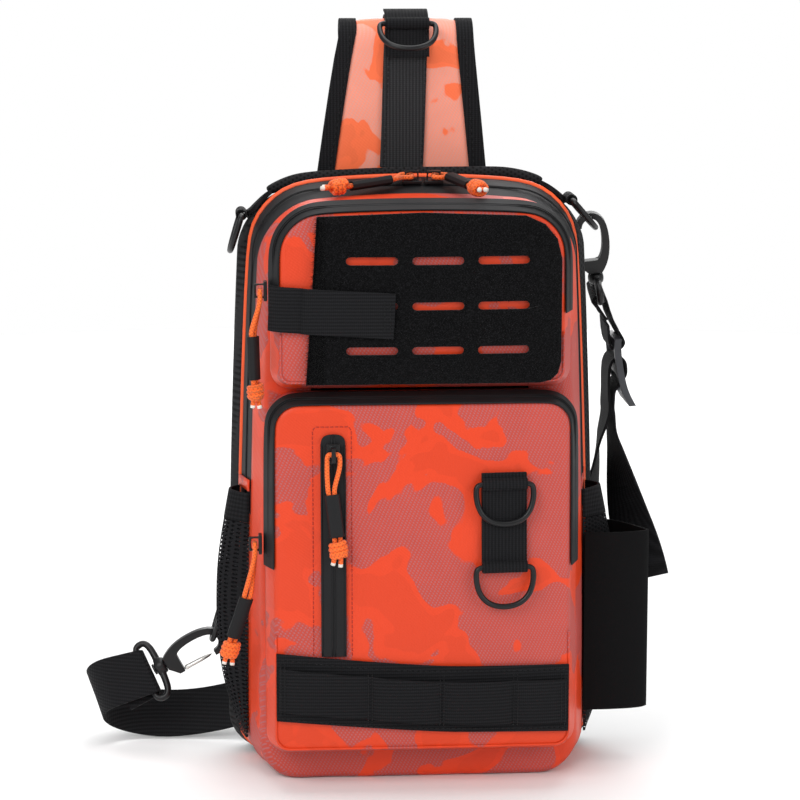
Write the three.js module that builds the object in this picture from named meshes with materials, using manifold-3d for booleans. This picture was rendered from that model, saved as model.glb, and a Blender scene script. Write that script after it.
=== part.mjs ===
// Crossbody sling bag in millimetres, +Z up, front towards -Y.
// Origin: centre of the flat base that the bag stands on.
import * as THREE from 'three';
import { mergeVertices } from 'three/addons/utils/BufferGeometryUtils.js';
import Module from 'manifold-3d';

const wasm = await Module();
wasm.setup();

// Clearances and walls
const GAP = 0.3;
const LAYER_GAP = 0.4;
const COATED_WALL = 2;
const PADDED_WALL = 10;
const WEBBING_WALL = 1.6;
const MESH_WALL = 1.4;

// Main body: depth stations run from the back face to the front face
const BODY_WIDTH = 216;
const BODY_HEIGHT = 333;
const CROWN = 7;
const BACK_Y = 40;
const SEAM_Y = 18;
const ZIP_FRONT_Y = -12;
const FRONT_Y = -36;
const TOP_CORNER = 33;
const BASE_CORNER = 22;
const PIPING_RADIUS = 1.9;
const ZIP_BAND_LOW_Z = 150;

// Pockets on the front face
const UPPER_WIDTH = 167;
const UPPER_LOW_Z = 227.5;
const UPPER_TOP_Z = 329;
const UPPER_DEPTH = 18;
const UPPER_BULGE = 6;
const LOWER_WIDTH = 175;
const LOWER_LOW_Z = 20;
const LOWER_TOP_Z = 225.5;
const LOWER_DEPTH = 23;
const LOWER_BULGE = 8;
const POCKET_CHAMFER = 5;
const POCKET_CROWN = 3;
const ZIP_STRIP_WALL = 1;

// Hook-and-loop panel and its slots
const PANEL_WALL = 2.2;
const SLOT_LENGTH = 28.5;
const SLOT_HEIGHT = 4.4;
const SLOT_PITCH_X = 36.2;
const SLOT_PITCH_Z = 24.8;
const SLOT_CENTRE_X = 8;
const SLOT_CENTRE_Z = 275.7;

// Webbing, rings and hooks
const WEBBING_WIDTH = 25;
const SLING_WIDTH = 30;
const BAND_HEIGHT = 39;
const WIRE_RADIUS = 1.8;
const RING_WIDTH = 36;
const RING_HEIGHT = 26;
const SMALL_RING_WIDTH = 29;
const SMALL_RING_HEIGHT = 24;
const RING_PLAY = 0.35;
const HOOK_LENGTH = 38;
const HOOK_WIDTH = 19;
const HOOK_THICKNESS = 5;
const HOOK_RING_WIDTH = 41;
const HOOK_RING_LENGTH = 13.4;
const HOOK_RING_RADIUS = 2.3;

// Shoulder strap and carry handle
const STRAP_WALL = 6;
const STRAP_FOLD_Z = 412;
const STRAP_FOLD_RADIUS = 13;
const STRAP_FOOT_Z = 318;
const STRAP_END_Z = 150;
const STRAP_WIDTH = 100;
const BINDING_WIDTH = 9;
const BINDING_WALL = 1.2;
const HANDLE_RADIUS = 3.6;

// Side pockets and side loop
const SIDE_TOP_Z = 162;
const SIDE_LOW_Z = 18;
const LEFT_BULGE = 15;
const RIGHT_BULGE = 17;
const ELASTIC_HEIGHT = 17;
const LOOP_REACH = 38;
const LOOP_TOP_Z = 137;
const LOOP_HEIGHT = 105;

// Front trim
const PLATE_GAP = 1.2;
const TAB_RIGHT_X = -16;
const TAB_CENTRE_Z = 270.6;
const TAB_SLOPE = -0.054;
const CENTRE_ZIP_WIDTH = 14;
const CENTRE_ZIP_X = -50;
const CENTRE_ZIP_TOP_Z = 205.5;
const BAND_MIDDLE_Z = 54.5;
const BAND_TURN_X = 12;
const BAND_LEFT_RISE = 7;
const BAND_RIGHT_RISE = 1.8;
const RING_WEB_X = 44.3;
const RING_WEB_Z = 155;
const RING_WEB_LENGTH = 56;
const DOUBLE_WEBBING = 2.8;

// Strap, rings at the sides and hook swivels
const STRAP_X = -5.2;
const STRAP_LEAN = 3.4;
const STRAP_EDGE_WALL = 2.4;
const STRAP_RING_TURN = 0.61;
const STRAP_RING_LEAN = 0.93;
const HANDLE_Y = 30;
const HANDLE_HALF_SPAN = 79;
const SIDE_RING_Y = 30;
const SIDE_TAB_WIDTH = 19;
const SIDE_RING_TURN_LEFT = 0.63;
const SIDE_RING_TURN_RIGHT = 0.87;
const SIDE_TAB_TURN = 0.4;
const SIDE_RING_HANG_LEFT = 0.3;
const SIDE_RING_HANG_RIGHT = 0.72;
const LOW_RING_Z = 86;
const LOW_RING_HANG = 0.3;
const LOW_TAB_WIDTH = 17;
const SWIVEL_STEM = 2.2;
const SWIVEL_HEIGHT = 6;
const GATE_RADIUS = 1.4;

// Ladder lock
const LOCK_LENGTH = 40;
const LOCK_WIDTH = 38;
const LOCK_WALL = 4;
const HOOK_ON_RING = [-1.18, 5.8, 2.13];
const LOCK_BELOW_HOOK = [17.1, 12.2, -88];
const LOCK_SLOPE = 0.075;

// Zip pulls
const CORD_RADIUS = 1.4;
const CORD_STEPS = 22;
const BRIDGE_CLEAR = 4.1;
const KNOT_WIDTH = 10.5;
const KNOT_LENGTH = 12;
const SLEEVE_LENGTH = 24;
const SLEEVE_WIDTH = 8.4;
const SLEEVE_DEPTH = 5.4;
const SLIDER_LENGTH = 11;
const SLIDER_WIDTH = 7.5;

const V = (x, y, z) => new THREE.Vector3(x, y, z);

const PAINTS = {
  coated_orange: new THREE.MeshStandardMaterial({ color: 0xe8492f, roughness: 0.55, metalness: 0 }),
  bright_orange: new THREE.MeshStandardMaterial({ color: 0xff5a1c, roughness: 0.7, metalness: 0 }),
  zip_black: new THREE.MeshStandardMaterial({ color: 0x2b2c2f, roughness: 0.5, metalness: 0 }),
  webbing_black: new THREE.MeshStandardMaterial({ color: 0x121214, roughness: 0.85, metalness: 0 }),
  mesh_black: new THREE.MeshStandardMaterial({ color: 0x17171a, roughness: 0.9, metalness: 0 }),
  loop_black: new THREE.MeshStandardMaterial({ color: 0x0d0d0f, roughness: 1, metalness: 0 }),
  hardware_black: new THREE.MeshStandardMaterial({ color: 0x1b1c1f, roughness: 0.35, metalness: 0 }),
  steel: new THREE.MeshStandardMaterial({ color: 0xb9b8b2, roughness: 0.3, metalness: 1 }),
  buckle_grey: new THREE.MeshStandardMaterial({ color: 0x55575b, roughness: 0.4, metalness: 0 }),
};

const bag = new THREE.Group();

// Adds one named piece to a group.
function addPiece(group, name, geometry, paint) {
  const mesh = new THREE.Mesh(geometry, PAINTS[paint]);
  mesh.name = name;
  group.add(mesh);
  return mesh;
}

function addGroup() {
  const group = new THREE.Group();
  bag.add(group);
  return group;
}

// Closed body from points and triangles, turned so that its faces point out.
function closedBody(points, faces) {
  let volume = 0;
  for (const [a, b, c] of faces) {
    volume += points[a].dot(points[b].clone().cross(points[c]));
  }
  const index = [];
  for (const [a, b, c] of faces) {
    if (volume < 0) {
      index.push(a, c, b);
    } else {
      index.push(a, b, c);
    }
  }
  const geometry = new THREE.BufferGeometry();
  geometry.setAttribute('position', new THREE.Float32BufferAttribute(points.flatMap((p) => p.toArray()), 3));
  geometry.setIndex(index);
  geometry.computeVertexNormals();
  return geometry;
}

function positionsOnly(geometry) {
  const copy = geometry.clone();
  copy.deleteAttribute('normal');
  copy.deleteAttribute('uv');
  return mergeVertices(copy, 1e-4);
}

function toSolid(geometry) {
  const merged = positionsOnly(geometry);
  const vertProperties = new Float32Array(merged.getAttribute('position').array);
  const triVerts = new Uint32Array(merged.index.array);
  return new wasm.Manifold(new wasm.Mesh({ numProp: 3, vertProperties, triVerts }));
}

function fromSolid(solid) {
  const mesh = solid.getMesh();
  const geometry = new THREE.BufferGeometry();
  geometry.setAttribute('position', new THREE.BufferAttribute(new Float32Array(mesh.vertProperties), 3));
  geometry.setIndex(new THREE.BufferAttribute(new Uint32Array(mesh.triVerts), 1));
  geometry.computeVertexNormals();
  return geometry;
}

// Skins a list of closed rings of equal length; both ends get the cap's triangles, or fans.
function loft(rings, cap) {
  const count = rings[0].length;
  const points = rings.flat();
  const faces = [];
  for (let r = 0; r + 1 < rings.length; r += 1) {
    for (let i = 0; i < count; i += 1) {
      const j = (i + 1) % count;
      const a = r * count + i;
      const b = r * count + j;
      faces.push([a, b, b + count], [a, b + count, a + count]);
    }
  }
  for (const [start, turned] of [[0, true], [(rings.length - 1) * count, false]]) {
    if (cap) {
      faces.push(...cap.map(([a, b, c]) => (turned ? [start + a, start + c, start + b] : [start + a, start + b, start + c])));
      continue;
    }
    const ring = rings[start / count];
    const centre = ring.reduce((sum, p) => sum.add(p), V(0, 0, 0)).divideScalar(count);
    points.push(centre);
    const c = points.length - 1;
    for (let i = 0; i < count; i += 1) {
      const j = (i + 1) % count;
      faces.push(turned ? [c, start + j, start + i] : [c, start + i, start + j]);
    }
  }
  return closedBody(points, faces);
}

// Round section swept round a closed planar path.
function closedWire(path, radius, sides, planeNormal) {
  const points = [];
  const faces = [];
  const count = path.length;
  for (let i = 0; i < count; i += 1) {
    const before = path[(i + count - 1) % count];
    const after = path[(i + 1) % count];
    const tangent = after.clone().sub(before).normalize();
    const side = tangent.clone().cross(planeNormal).normalize();
    for (let k = 0; k < sides; k += 1) {
      const turn = (2 * Math.PI * (k + 0.5)) / sides;
      const offset = side.clone().multiplyScalar(radius * Math.cos(turn));
      offset.addScaledVector(planeNormal, radius * Math.sin(turn));
      points.push(path[i].clone().add(offset));
    }
  }
  for (let i = 0; i < count; i += 1) {
    const next = (i + 1) % count;
    for (let k = 0; k < sides; k += 1) {
      const m = (k + 1) % sides;
      faces.push([i * sides + k, i * sides + m, next * sides + m]);
      faces.push([i * sides + k, next * sides + m, next * sides + k]);
    }
  }
  return closedBody(points, faces);
}

// Round tube along an open curve.
function tube(points, radius, sides, steps) {
  const section = new THREE.Shape();
  for (let k = 0; k < sides; k += 1) {
    const turn = (2 * Math.PI * k) / sides;
    if (k === 0) {
      section.moveTo(radius * Math.cos(turn), radius * Math.sin(turn));
    } else {
      section.lineTo(radius * Math.cos(turn), radius * Math.sin(turn));
    }
  }
  const route = new THREE.CatmullRomCurve3(points, false, 'centripetal');
  return new THREE.ExtrudeGeometry(section, { steps, bevelEnabled: false, extrudePath: route });
}

// Flat strip of webbing: rows of {at, across} with the strip's own thickness.
function ribbon(rows, width, wall) {
  const sections = [];
  for (let i = 0; i < rows.length; i += 1) {
    const before = rows[Math.max(i - 1, 0)].at;
    const after = rows[Math.min(i + 1, rows.length - 1)].at;
    const tangent = after.clone().sub(before).normalize();
    const across = rows[i].across.clone().addScaledVector(tangent, -rows[i].across.dot(tangent)).normalize();
    const normal = tangent.clone().cross(across).normalize();
    const half = (rows[i].width ?? width) / 2;
    const thick = (rows[i].wall ?? wall) / 2;
    sections.push([[-1, -1], [1, -1], [1, 1], [-1, 1]].map(([u, n]) => rows[i].at.clone()
      .addScaledVector(across, u * half)
      .addScaledVector(normal, n * thick)));
  }
  return loft(sections);
}

// Evenly spaced rows on a smooth curve through a table of [x, y, z, across x, across y, across z].
function smoothRows(table, steps) {
  const route = new THREE.CatmullRomCurve3(table.map((r) => V(r[0], r[1], r[2])), false, 'centripetal');
  const widths = new THREE.CatmullRomCurve3(table.map((r) => V(r[3], r[4], r[5])), false, 'centripetal');
  const rows = [];
  for (let i = 0; i <= steps; i += 1) {
    rows.push({ at: route.getPoint(i / steps), across: widths.getPoint(i / steps).normalize() });
  }
  return rows;
}

// Half width of an outline at height z: straight sides that bow in towards the top.
function halfWidth(spec, z) {
  const share = THREE.MathUtils.clamp((z - spec.low) / (spec.top - spec.low), 0, 1);
  return spec.wide / 2 - ((spec.wide - spec.narrow) / 2) * share * share;
}

// Outline with rounded corners in the XZ plane; the point count depends on the steps only.
function outline(spec, inset) {
  const low = spec.low + inset;
  const top = spec.top - inset;
  const rb = Math.max(spec.lowCorner - inset, 1.5);
  const rt = Math.max(spec.topCorner - inset, 1.5);
  const wideAt = (z) => halfWidth(spec, z) - inset;
  const right = [];
  const cornerSteps = 4;
  for (let i = 0; i <= cornerSteps; i += 1) {
    const turn = (Math.PI / 2) * (i / cornerSteps - 1);
    right.push([wideAt(low + rb) - rb + rb * Math.cos(turn), low + rb + rb * Math.sin(turn)]);
  }
  for (const stop of spec.stops) {
    right.push([wideAt(stop), stop]);
  }
  for (let i = 0; i <= cornerSteps; i += 1) {
    const turn = (Math.PI / 2) * (i / cornerSteps);
    right.push([wideAt(top - rt) - rt + rt * Math.cos(turn), top - rt + rt * Math.sin(turn)]);
  }
  const lift = (x, z) => {
    const high = THREE.MathUtils.clamp((z - (top - rt)) / rt, 0, 1);
    const near = 1 - (x / wideAt(top - rt)) ** 2;
    return z + spec.crown * high * Math.max(near, 0);
  };
  const points = [];
  const flat = spec.columns;
  for (const [x, z] of right) {
    points.push([x, lift(x, z)]);
  }
  const topX = right[right.length - 1][0];
  for (let i = 1; i < flat; i += 1) {
    const x = topX * (1 - (2 * i) / flat);
    points.push([x, lift(x, top)]);
  }
  for (const [x, z] of [...right].reverse()) {
    points.push([-x, lift(x, z)]);
  }
  const lowX = right[0][0];
  for (let i = 1; i < flat; i += 1) {
    points.push([-lowX * (1 - (2 * i) / flat), low]);
  }
  return points;
}

function ringAt(spec, inset, y) {
  return outline(spec, inset).map(([x, z]) => V(x, y, z));
}

// Body outline at a depth y, from the table of depth stations.
// Columns: depth y, width, top width, height, all as shares of the body's own sizes.
const BODY_ROWS = [
  { y: BACK_Y, wide: 0.975, narrow: 0.89, high: 0.975 },
  { y: SEAM_Y + 12, wide: 1, narrow: 0.917, high: 0.985 },
  { y: SEAM_Y, wide: 0.949, narrow: 0.857, high: 1 },
  { y: ZIP_FRONT_Y, wide: 0.894, narrow: 0.819, high: 0.978 },
  { y: ZIP_FRONT_Y - 18, wide: 0.843, narrow: 0.764, high: 0.973 },
  { y: FRONT_Y, wide: 0.82, narrow: 0.745, high: 0.966 },
];
const SIDE_STOPS = [0.15, 0.3, 0.45, 0.6, 0.75];

function bodySpec(y) {
  let i = 0;
  while (i + 2 < BODY_ROWS.length && y < BODY_ROWS[i + 1].y) {
    i += 1;
  }
  const a = BODY_ROWS[i];
  const b = BODY_ROWS[i + 1];
  const t = THREE.MathUtils.clamp((a.y - y) / (a.y - b.y), 0, 1);
  const mix = (key) => THREE.MathUtils.lerp(a[key], b[key], t);
  return {
    wide: BODY_WIDTH * mix('wide'),
    narrow: BODY_WIDTH * mix('narrow'),
    low: 0,
    top: BODY_HEIGHT * mix('high'),
    lowCorner: BASE_CORNER,
    topCorner: TOP_CORNER,
    crown: CROWN,
    columns: 6,
    stops: SIDE_STOPS.map((share) => share * BODY_HEIGHT),
  };
}

const upperSpec = {
  wide: UPPER_WIDTH,
  narrow: UPPER_WIDTH - 1,
  low: UPPER_LOW_Z,
  top: UPPER_TOP_Z,
  lowCorner: 11,
  topCorner: 26,
  crown: POCKET_CROWN,
  columns: 6,
  stops: [0.2, 0.42, 0.6].map((s) => THREE.MathUtils.lerp(UPPER_LOW_Z, UPPER_TOP_Z, s)),
};

const lowerSpec = {
  wide: LOWER_WIDTH,
  narrow: LOWER_WIDTH - 2,
  low: LOWER_LOW_Z,
  top: LOWER_TOP_Z,
  lowCorner: 13,
  topCorner: 18,
  crown: 0,
  columns: 6,
  stops: [0.16, 0.34, 0.53, 0.72].map((s) => THREE.MathUtils.lerp(LOWER_LOW_Z, LOWER_TOP_Z, s)),
};

const upperEdgeY = FRONT_Y - UPPER_DEPTH;
const lowerEdgeY = FRONT_Y - LOWER_DEPTH;

// Depth of a domed face at x, z; positive numbers stand out towards the front.
function dome(spec, bulge, peak, x, z) {
  const u = x / (halfWidth(spec, z) || 1);
  const half = (spec.top - spec.low) / 2;
  const middle = spec.low + half * peak;
  const reach = z > middle ? spec.top - middle : middle - spec.low;
  const v = (z - middle) / reach;
  return bulge * Math.max(0, 1 - u * u) * Math.max(0, 1 - v * v);
}

const upperFace = (x, z) => upperEdgeY - dome(upperSpec, UPPER_BULGE, 1, x, z);
const lowerFace = (x, z) => lowerEdgeY - dome(lowerSpec, LOWER_BULGE, 0.8, x, z);

// Open pan with a domed front: outer rings from the centre to the rim, then the inner ones back.
function pocketPan(spec, edgeY, face) {
  const rim = FRONT_Y - GAP;
  const centreZ = (spec.low + spec.top) / 2;
  const shrink = (inset, share, depth) => outline(spec, inset).map(([x, z]) => {
    const px = x * share;
    const pz = centreZ + (z - centreZ) * share;
    return V(px, depth(px, pz), pz);
  });
  const outer = (x, z) => face(x, z);
  const inner = (x, z) => face(x, z) + COATED_WALL;
  return loft([
    shrink(POCKET_CHAMFER, 0.35, outer),
    shrink(POCKET_CHAMFER, 0.7, outer),
    shrink(POCKET_CHAMFER, 1, outer),
    shrink(0, 1, () => edgeY + 12),
    shrink(0, 1, () => rim),
    shrink(COATED_WALL, 1, () => rim),
    shrink(COATED_WALL, 1, () => edgeY + 12),
    shrink(POCKET_CHAMFER + COATED_WALL, 1, inner),
    shrink(POCKET_CHAMFER + COATED_WALL, 0.7, inner),
    shrink(POCKET_CHAMFER + COATED_WALL, 0.35, inner),
  ]);
}

// Strip on the pocket's sloping edge, between two outline points, round the top.
function edgeStrip(spec, edgeY, face, fromIndex, toIndex) {
  const near = ringOffset(spec, 0, edgeY + 12, GAP, null);
  const far = ringOffset(spec, POCKET_CHAMFER, 0, GAP, face);
  const nearOut = ringOffset(spec, 0, edgeY + 12, GAP + ZIP_STRIP_WALL, null);
  const farOut = ringOffset(spec, POCKET_CHAMFER, 0, GAP + ZIP_STRIP_WALL, face);
  const sections = [];
  for (let i = fromIndex; i <= toIndex; i += 1) {
    sections.push([near[i], far[i], farOut[i], nearOut[i]]);
  }
  return loft(sections);
}

// Outline points moved straight off the pocket's sloping edge by a distance.
function ringOffset(spec, inset, y, distance, face) {
  return outline(spec, inset - distance).map(([x, z]) => {
    const [fx, fz] = [x, z];
    const depth = face ? face(fx, fz) : y;
    return V(fx, depth - (face ? distance * 0.5 : 0), fz);
  });
}

// Solid between two surfaces; at(u, v, layer) gives a point for shares u, v and layer 0 or 1.
function slab(columns, rows, at) {
  const points = [];
  const faces = [];
  const stride = columns + 1;
  const layer = stride * (rows + 1);
  for (const side of [0, 1]) {
    for (let r = 0; r <= rows; r += 1) {
      for (let c = 0; c <= columns; c += 1) {
        points.push(at(c / columns, r / rows, side));
      }
    }
  }
  for (let r = 0; r < rows; r += 1) {
    for (let c = 0; c < columns; c += 1) {
      const a = r * stride + c;
      const b = a + layer;
      faces.push([a, a + 1, a + stride + 1], [a, a + stride + 1, a + stride]);
      faces.push([b, b + stride + 1, b + 1], [b, b + stride, b + stride + 1]);
    }
  }
  const rim = [];
  for (let c = 0; c < columns; c += 1) {
    rim.push(c);
  }
  for (let r = 0; r < rows; r += 1) {
    rim.push(r * stride + columns);
  }
  for (let c = columns; c > 0; c -= 1) {
    rim.push(rows * stride + c);
  }
  for (let r = rows; r > 0; r -= 1) {
    rim.push(r * stride);
  }
  rim.forEach((a, i) => {
    const b = rim[(i + 1) % rim.length];
    faces.push([a, a + layer, b + layer], [a, b + layer, b]);
  });
  return closedBody(points, faces);
}

// Plate cut from a slab by an outline drawn in the XZ plane.
function drapedPlate(shape, box, cells, face, gap, wall) {
  const field = slab(cells[0], cells[1], (u, v, layer) => {
    const x = THREE.MathUtils.lerp(box[0], box[1], u);
    const z = THREE.MathUtils.lerp(box[2], box[3], v);
    return V(x, face(x, z) - gap - layer * wall, z);
  });
  const cutter = new THREE.ExtrudeGeometry(shape, { depth: 400, bevelEnabled: false, curveSegments: 3 });
  cutter.rotateX(Math.PI / 2);
  cutter.translate(0, 200, 0);
  return fromSolid(toSolid(field).intersect(toSolid(cutter)));
}

function polygon(points) {
  const shape = new THREE.Shape();
  points.forEach(([x, z], i) => (i ? shape.lineTo(x, z) : shape.moveTo(x, z)));
  shape.closePath();
  return shape;
}

// Main body
function buildBody() {
  const group = addGroup();
  const backRim = SEAM_Y + PIPING_RADIUS + GAP;
  const middle = SEAM_Y + 12;
  const spec = (y) => bodySpec(y);
  const backRings = [
    ringAt(spec(BACK_Y), 26, BACK_Y),
    ringAt(spec(BACK_Y), 5, BACK_Y),
    ringAt(spec(BACK_Y), 0, BACK_Y - 5),
    ringAt(spec(middle), 0, middle),
    ringAt(spec(backRim), 0, backRim),
    ringAt(spec(backRim), 4, backRim),
    ringAt(spec(middle), 5, BACK_Y - PADDED_WALL),
  ];
  addPiece(group, 'back_panel', loft(backRings), 'mesh_black');

  const lowest = PIPING_RADIUS + GAP / 2;
  const seam = outline(spec(SEAM_Y), 0.6).map(([x, z]) => V(x, SEAM_Y, Math.max(z, lowest)));
  addPiece(group, 'rear_piping', closedWire(seam, PIPING_RADIUS, 6, V(0, 1, 0)), 'bright_orange');

  const gussetBack = SEAM_Y - PIPING_RADIUS - GAP;
  const gussetFront = ZIP_FRONT_Y + GAP / 2;
  addPiece(group, 'zip_gusset', bandArc(gussetBack, gussetFront, true), 'zip_black');
  addPiece(group, 'base_gusset', bandArc(gussetBack, gussetFront, false), 'coated_orange');

  const shellBack = ZIP_FRONT_Y - GAP / 2;
  const shoulder = ZIP_FRONT_Y - 18;
  const face = FRONT_Y;
  const shell = [
    ringAt(spec(face), 30, face),
    ringAt(spec(face), 2, face),
    ringAt(spec(shoulder), 0, shoulder),
    ringAt(spec(shellBack), 0, shellBack),
    ringAt(spec(shellBack), COATED_WALL, shellBack),
    ringAt(spec(shoulder), COATED_WALL, shoulder),
    ringAt(spec(face), 2 + COATED_WALL, face + COATED_WALL),
    ringAt(spec(face), 30, face + COATED_WALL),
  ];
  addPiece(group, 'front_shell', loft(shell), 'coated_orange');
}

// Outline points of the side band at one depth: over the top, or round the base.
function bandPoints(y, inset, overTop) {
  const spec = bodySpec(y);
  const split = overTop ? ZIP_BAND_LOW_Z : ZIP_BAND_LOW_Z - GAP;
  const half = halfWidth(spec, split) - inset;
  const points = outline(spec, inset);
  const margin = overTop ? 1 : -1;
  const above = points.map(([, z]) => z > split + margin);
  const first = above.indexOf(true);
  const last = above.lastIndexOf(true);
  if (overTop) {
    return [[half, split], ...points.slice(first, last + 1), [-half, split]];
  }
  return [[-half, split], ...points.slice(last + 1), ...points.slice(0, first), [half, split]];
}

function bandArc(backY, frontY, overTop) {
  const outerBack = bandPoints(backY, 0, overTop);
  const outerFront = bandPoints(frontY, 0, overTop);
  const innerBack = bandPoints(backY, COATED_WALL, overTop);
  const innerFront = bandPoints(frontY, COATED_WALL, overTop);
  return loft(outerBack.map((_, i) => [
    V(outerBack[i][0], backY, outerBack[i][1]),
    V(outerFront[i][0], frontY, outerFront[i][1]),
    V(innerFront[i][0], frontY, innerFront[i][1]),
    V(innerBack[i][0], backY, innerBack[i][1]),
  ]));
}

function buildPockets() {
  const group = addGroup();
  addPiece(group, 'upper_pocket', pocketPan(upperSpec, upperEdgeY, upperFace), 'coated_orange');
  addPiece(group, 'lower_pocket', pocketPan(lowerSpec, lowerEdgeY, lowerFace), 'coated_orange');
  const count = outline(upperSpec, 0).length;
  const upperFrom = 5 + 1;
  const upperTo = count - upperSpec.columns - (5 + 1);
  addPiece(group, 'upper_pocket_zip',
    edgeStrip(upperSpec, upperEdgeY, upperFace, upperFrom, upperTo), 'zip_black');
  const lowerCount = outline(lowerSpec, 0).length;
  const lowerFrom = 5 + 2;
  const lowerTo = lowerCount - lowerSpec.columns - (5 + 2);
  addPiece(group, 'lower_pocket_zip',
    edgeStrip(lowerSpec, lowerEdgeY, lowerFace, lowerFrom, lowerTo), 'zip_black');
}

// Places a piece built in a local frame (X across, -Y outward, Z up) on a face at x, z.
function seatOnFace(mesh, face, x, z, gap) {
  const step = 1;
  const slopeX = (face(x + step, z) - face(x - step, z)) / (2 * step);
  const slopeZ = (face(x, z + step) - face(x, z - step)) / (2 * step);
  const outward = V(slopeX, -1, slopeZ).normalize();
  const yAxis = outward.clone().negate();
  const xAxis = V(1, slopeX, 0).normalize();
  const zAxis = xAxis.clone().cross(yAxis).normalize();
  mesh.quaternion.setFromRotationMatrix(new THREE.Matrix4().makeBasis(xAxis, yAxis, zAxis));
  mesh.position.copy(V(x, face(x, z), z).addScaledVector(outward, gap));
  return outward;
}

const EYE_BORE = WIRE_RADIUS + RING_PLAY;
const BARREL = EYE_BORE + 0.8 * WEBBING_WALL;

function buildFrontTrim() {
  const group = addGroup();
  const halfUpper = UPPER_WIDTH / 2 - POCKET_CHAMFER;
  const panelTop = UPPER_TOP_Z - POCKET_CHAMFER + 0.6;
  const panelLow = UPPER_LOW_Z + POCKET_CHAMFER - 0.6;
  const panelRight = halfUpper - 2;
  const panelLeftTop = -0.74 * halfUpper;
  const panelLeftLow = -0.82 * halfUpper;
  const panel = new THREE.Shape();
  panel.moveTo(panelLeftLow, panelLow);
  panel.lineTo(panelRight - 12, panelLow);
  panel.quadraticCurveTo(panelRight - 1, panelLow, panelRight, panelLow + 12);
  panel.lineTo(panelRight, panelTop - 24);
  panel.quadraticCurveTo(panelRight - 1, panelTop - 5, panelRight - 20, panelTop);
  panel.lineTo(0, panelTop + POCKET_CROWN - 1);
  panel.lineTo(panelLeftTop, panelTop);
  panel.closePath();
  for (const row of [1, 0, -1]) {
    for (const column of [-1, 0, 1]) {
      const x = SLOT_CENTRE_X + column * SLOT_PITCH_X;
      const z = SLOT_CENTRE_Z + row * SLOT_PITCH_Z;
      const reach = (SLOT_LENGTH - SLOT_HEIGHT) / 2;
      const slot = new THREE.Path();
      slot.moveTo(x - reach, z - SLOT_HEIGHT / 2);
      slot.lineTo(x + reach, z - SLOT_HEIGHT / 2);
      slot.absarc(x + reach, z, SLOT_HEIGHT / 2, -Math.PI / 2, Math.PI / 2, false);
      slot.lineTo(x - reach, z + SLOT_HEIGHT / 2);
      slot.absarc(x - reach, z, SLOT_HEIGHT / 2, Math.PI / 2, 1.5 * Math.PI, false);
      panel.holes.push(slot);
    }
  }
  addPiece(group, 'loop_panel', drapedPlate(
    panel,
    [-halfUpper, halfUpper, UPPER_LOW_Z, UPPER_TOP_Z + POCKET_CROWN],
    [6, 6],
    upperFace,
    PLATE_GAP,
    PANEL_WALL,
  ), 'loop_black');

  // Tab over the left edge of the panel. Columns: x, then the depth y or null and the stand-off.
  const edge = UPPER_WIDTH / 2;
  const overPanel = PLATE_GAP + LAYER_GAP + PANEL_WALL + WEBBING_WALL / 2;
  const tabRows = [
    [-(edge + 0.6), upperEdgeY + 1.6],
    [-(edge - 3), upperEdgeY - 2.8],
    [-(edge - 9), null, PLATE_GAP + WEBBING_WALL],
    [-(edge - 17), null, PLATE_GAP + WEBBING_WALL],
    [panelLeftLow - 1, null, overPanel + 0.3],
    [panelLeftLow + 20, null, overPanel + 0.2],
    [TAB_RIGHT_X, null, overPanel + 0.2],
  ];
  addPiece(group, 'panel_tab', ribbon(tabRows.map(([x, y, out]) => {
    const z = TAB_CENTRE_Z + TAB_SLOPE * (x - TAB_RIGHT_X);
    return { at: V(x, y ?? upperFace(x, z) - out, z), across: V(-TAB_SLOPE, 0, 1) };
  }), WEBBING_WIDTH, WEBBING_WALL), 'webbing_black');

  // Upright zip with a rounded top
  const zipHalf = CENTRE_ZIP_WIDTH / 2;
  const zipLow = bandMiddle(CENTRE_ZIP_X - zipHalf) + BAND_HEIGHT / 2 + 2 * GAP;
  const zip = new THREE.Shape();
  zip.moveTo(CENTRE_ZIP_X - zipHalf, zipLow);
  zip.lineTo(CENTRE_ZIP_X + zipHalf, zipLow);
  zip.lineTo(CENTRE_ZIP_X + zipHalf, CENTRE_ZIP_TOP_Z - 5);
  zip.quadraticCurveTo(CENTRE_ZIP_X + zipHalf, CENTRE_ZIP_TOP_Z, CENTRE_ZIP_X, CENTRE_ZIP_TOP_Z);
  zip.quadraticCurveTo(CENTRE_ZIP_X - zipHalf, CENTRE_ZIP_TOP_Z, CENTRE_ZIP_X - zipHalf, CENTRE_ZIP_TOP_Z - 5);
  zip.closePath();
  addPiece(group, 'centre_zip', drapedPlate(
    zip,
    [CENTRE_ZIP_X - zipHalf - 1, CENTRE_ZIP_X + zipHalf + 1, zipLow - 2, CENTRE_ZIP_TOP_Z + 2],
    [1, 8],
    lowerFace,
    PLATE_GAP,
    ZIP_STRIP_WALL,
  ), 'zip_black');

  // Wide band across the lower pocket; its middle line sinks from left to centre
  const bandReach = LOWER_WIDTH / 2 - POCKET_CHAMFER - 0.5;
  const bandRows = 10;
  const bandAt = (share) => {
    const x = THREE.MathUtils.lerp(-bandReach, bandReach, share);
    return { x, z: bandMiddle(x) };
  };
  addPiece(group, 'wide_band', slab(bandRows, 3, (u, v, layer) => {
    const { x, z } = bandAt(u);
    const height = z + (v - 0.5) * BAND_HEIGHT;
    return V(x, lowerFace(x, height) - PLATE_GAP - layer * WEBBING_WALL, height);
  }), 'webbing_black');

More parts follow.
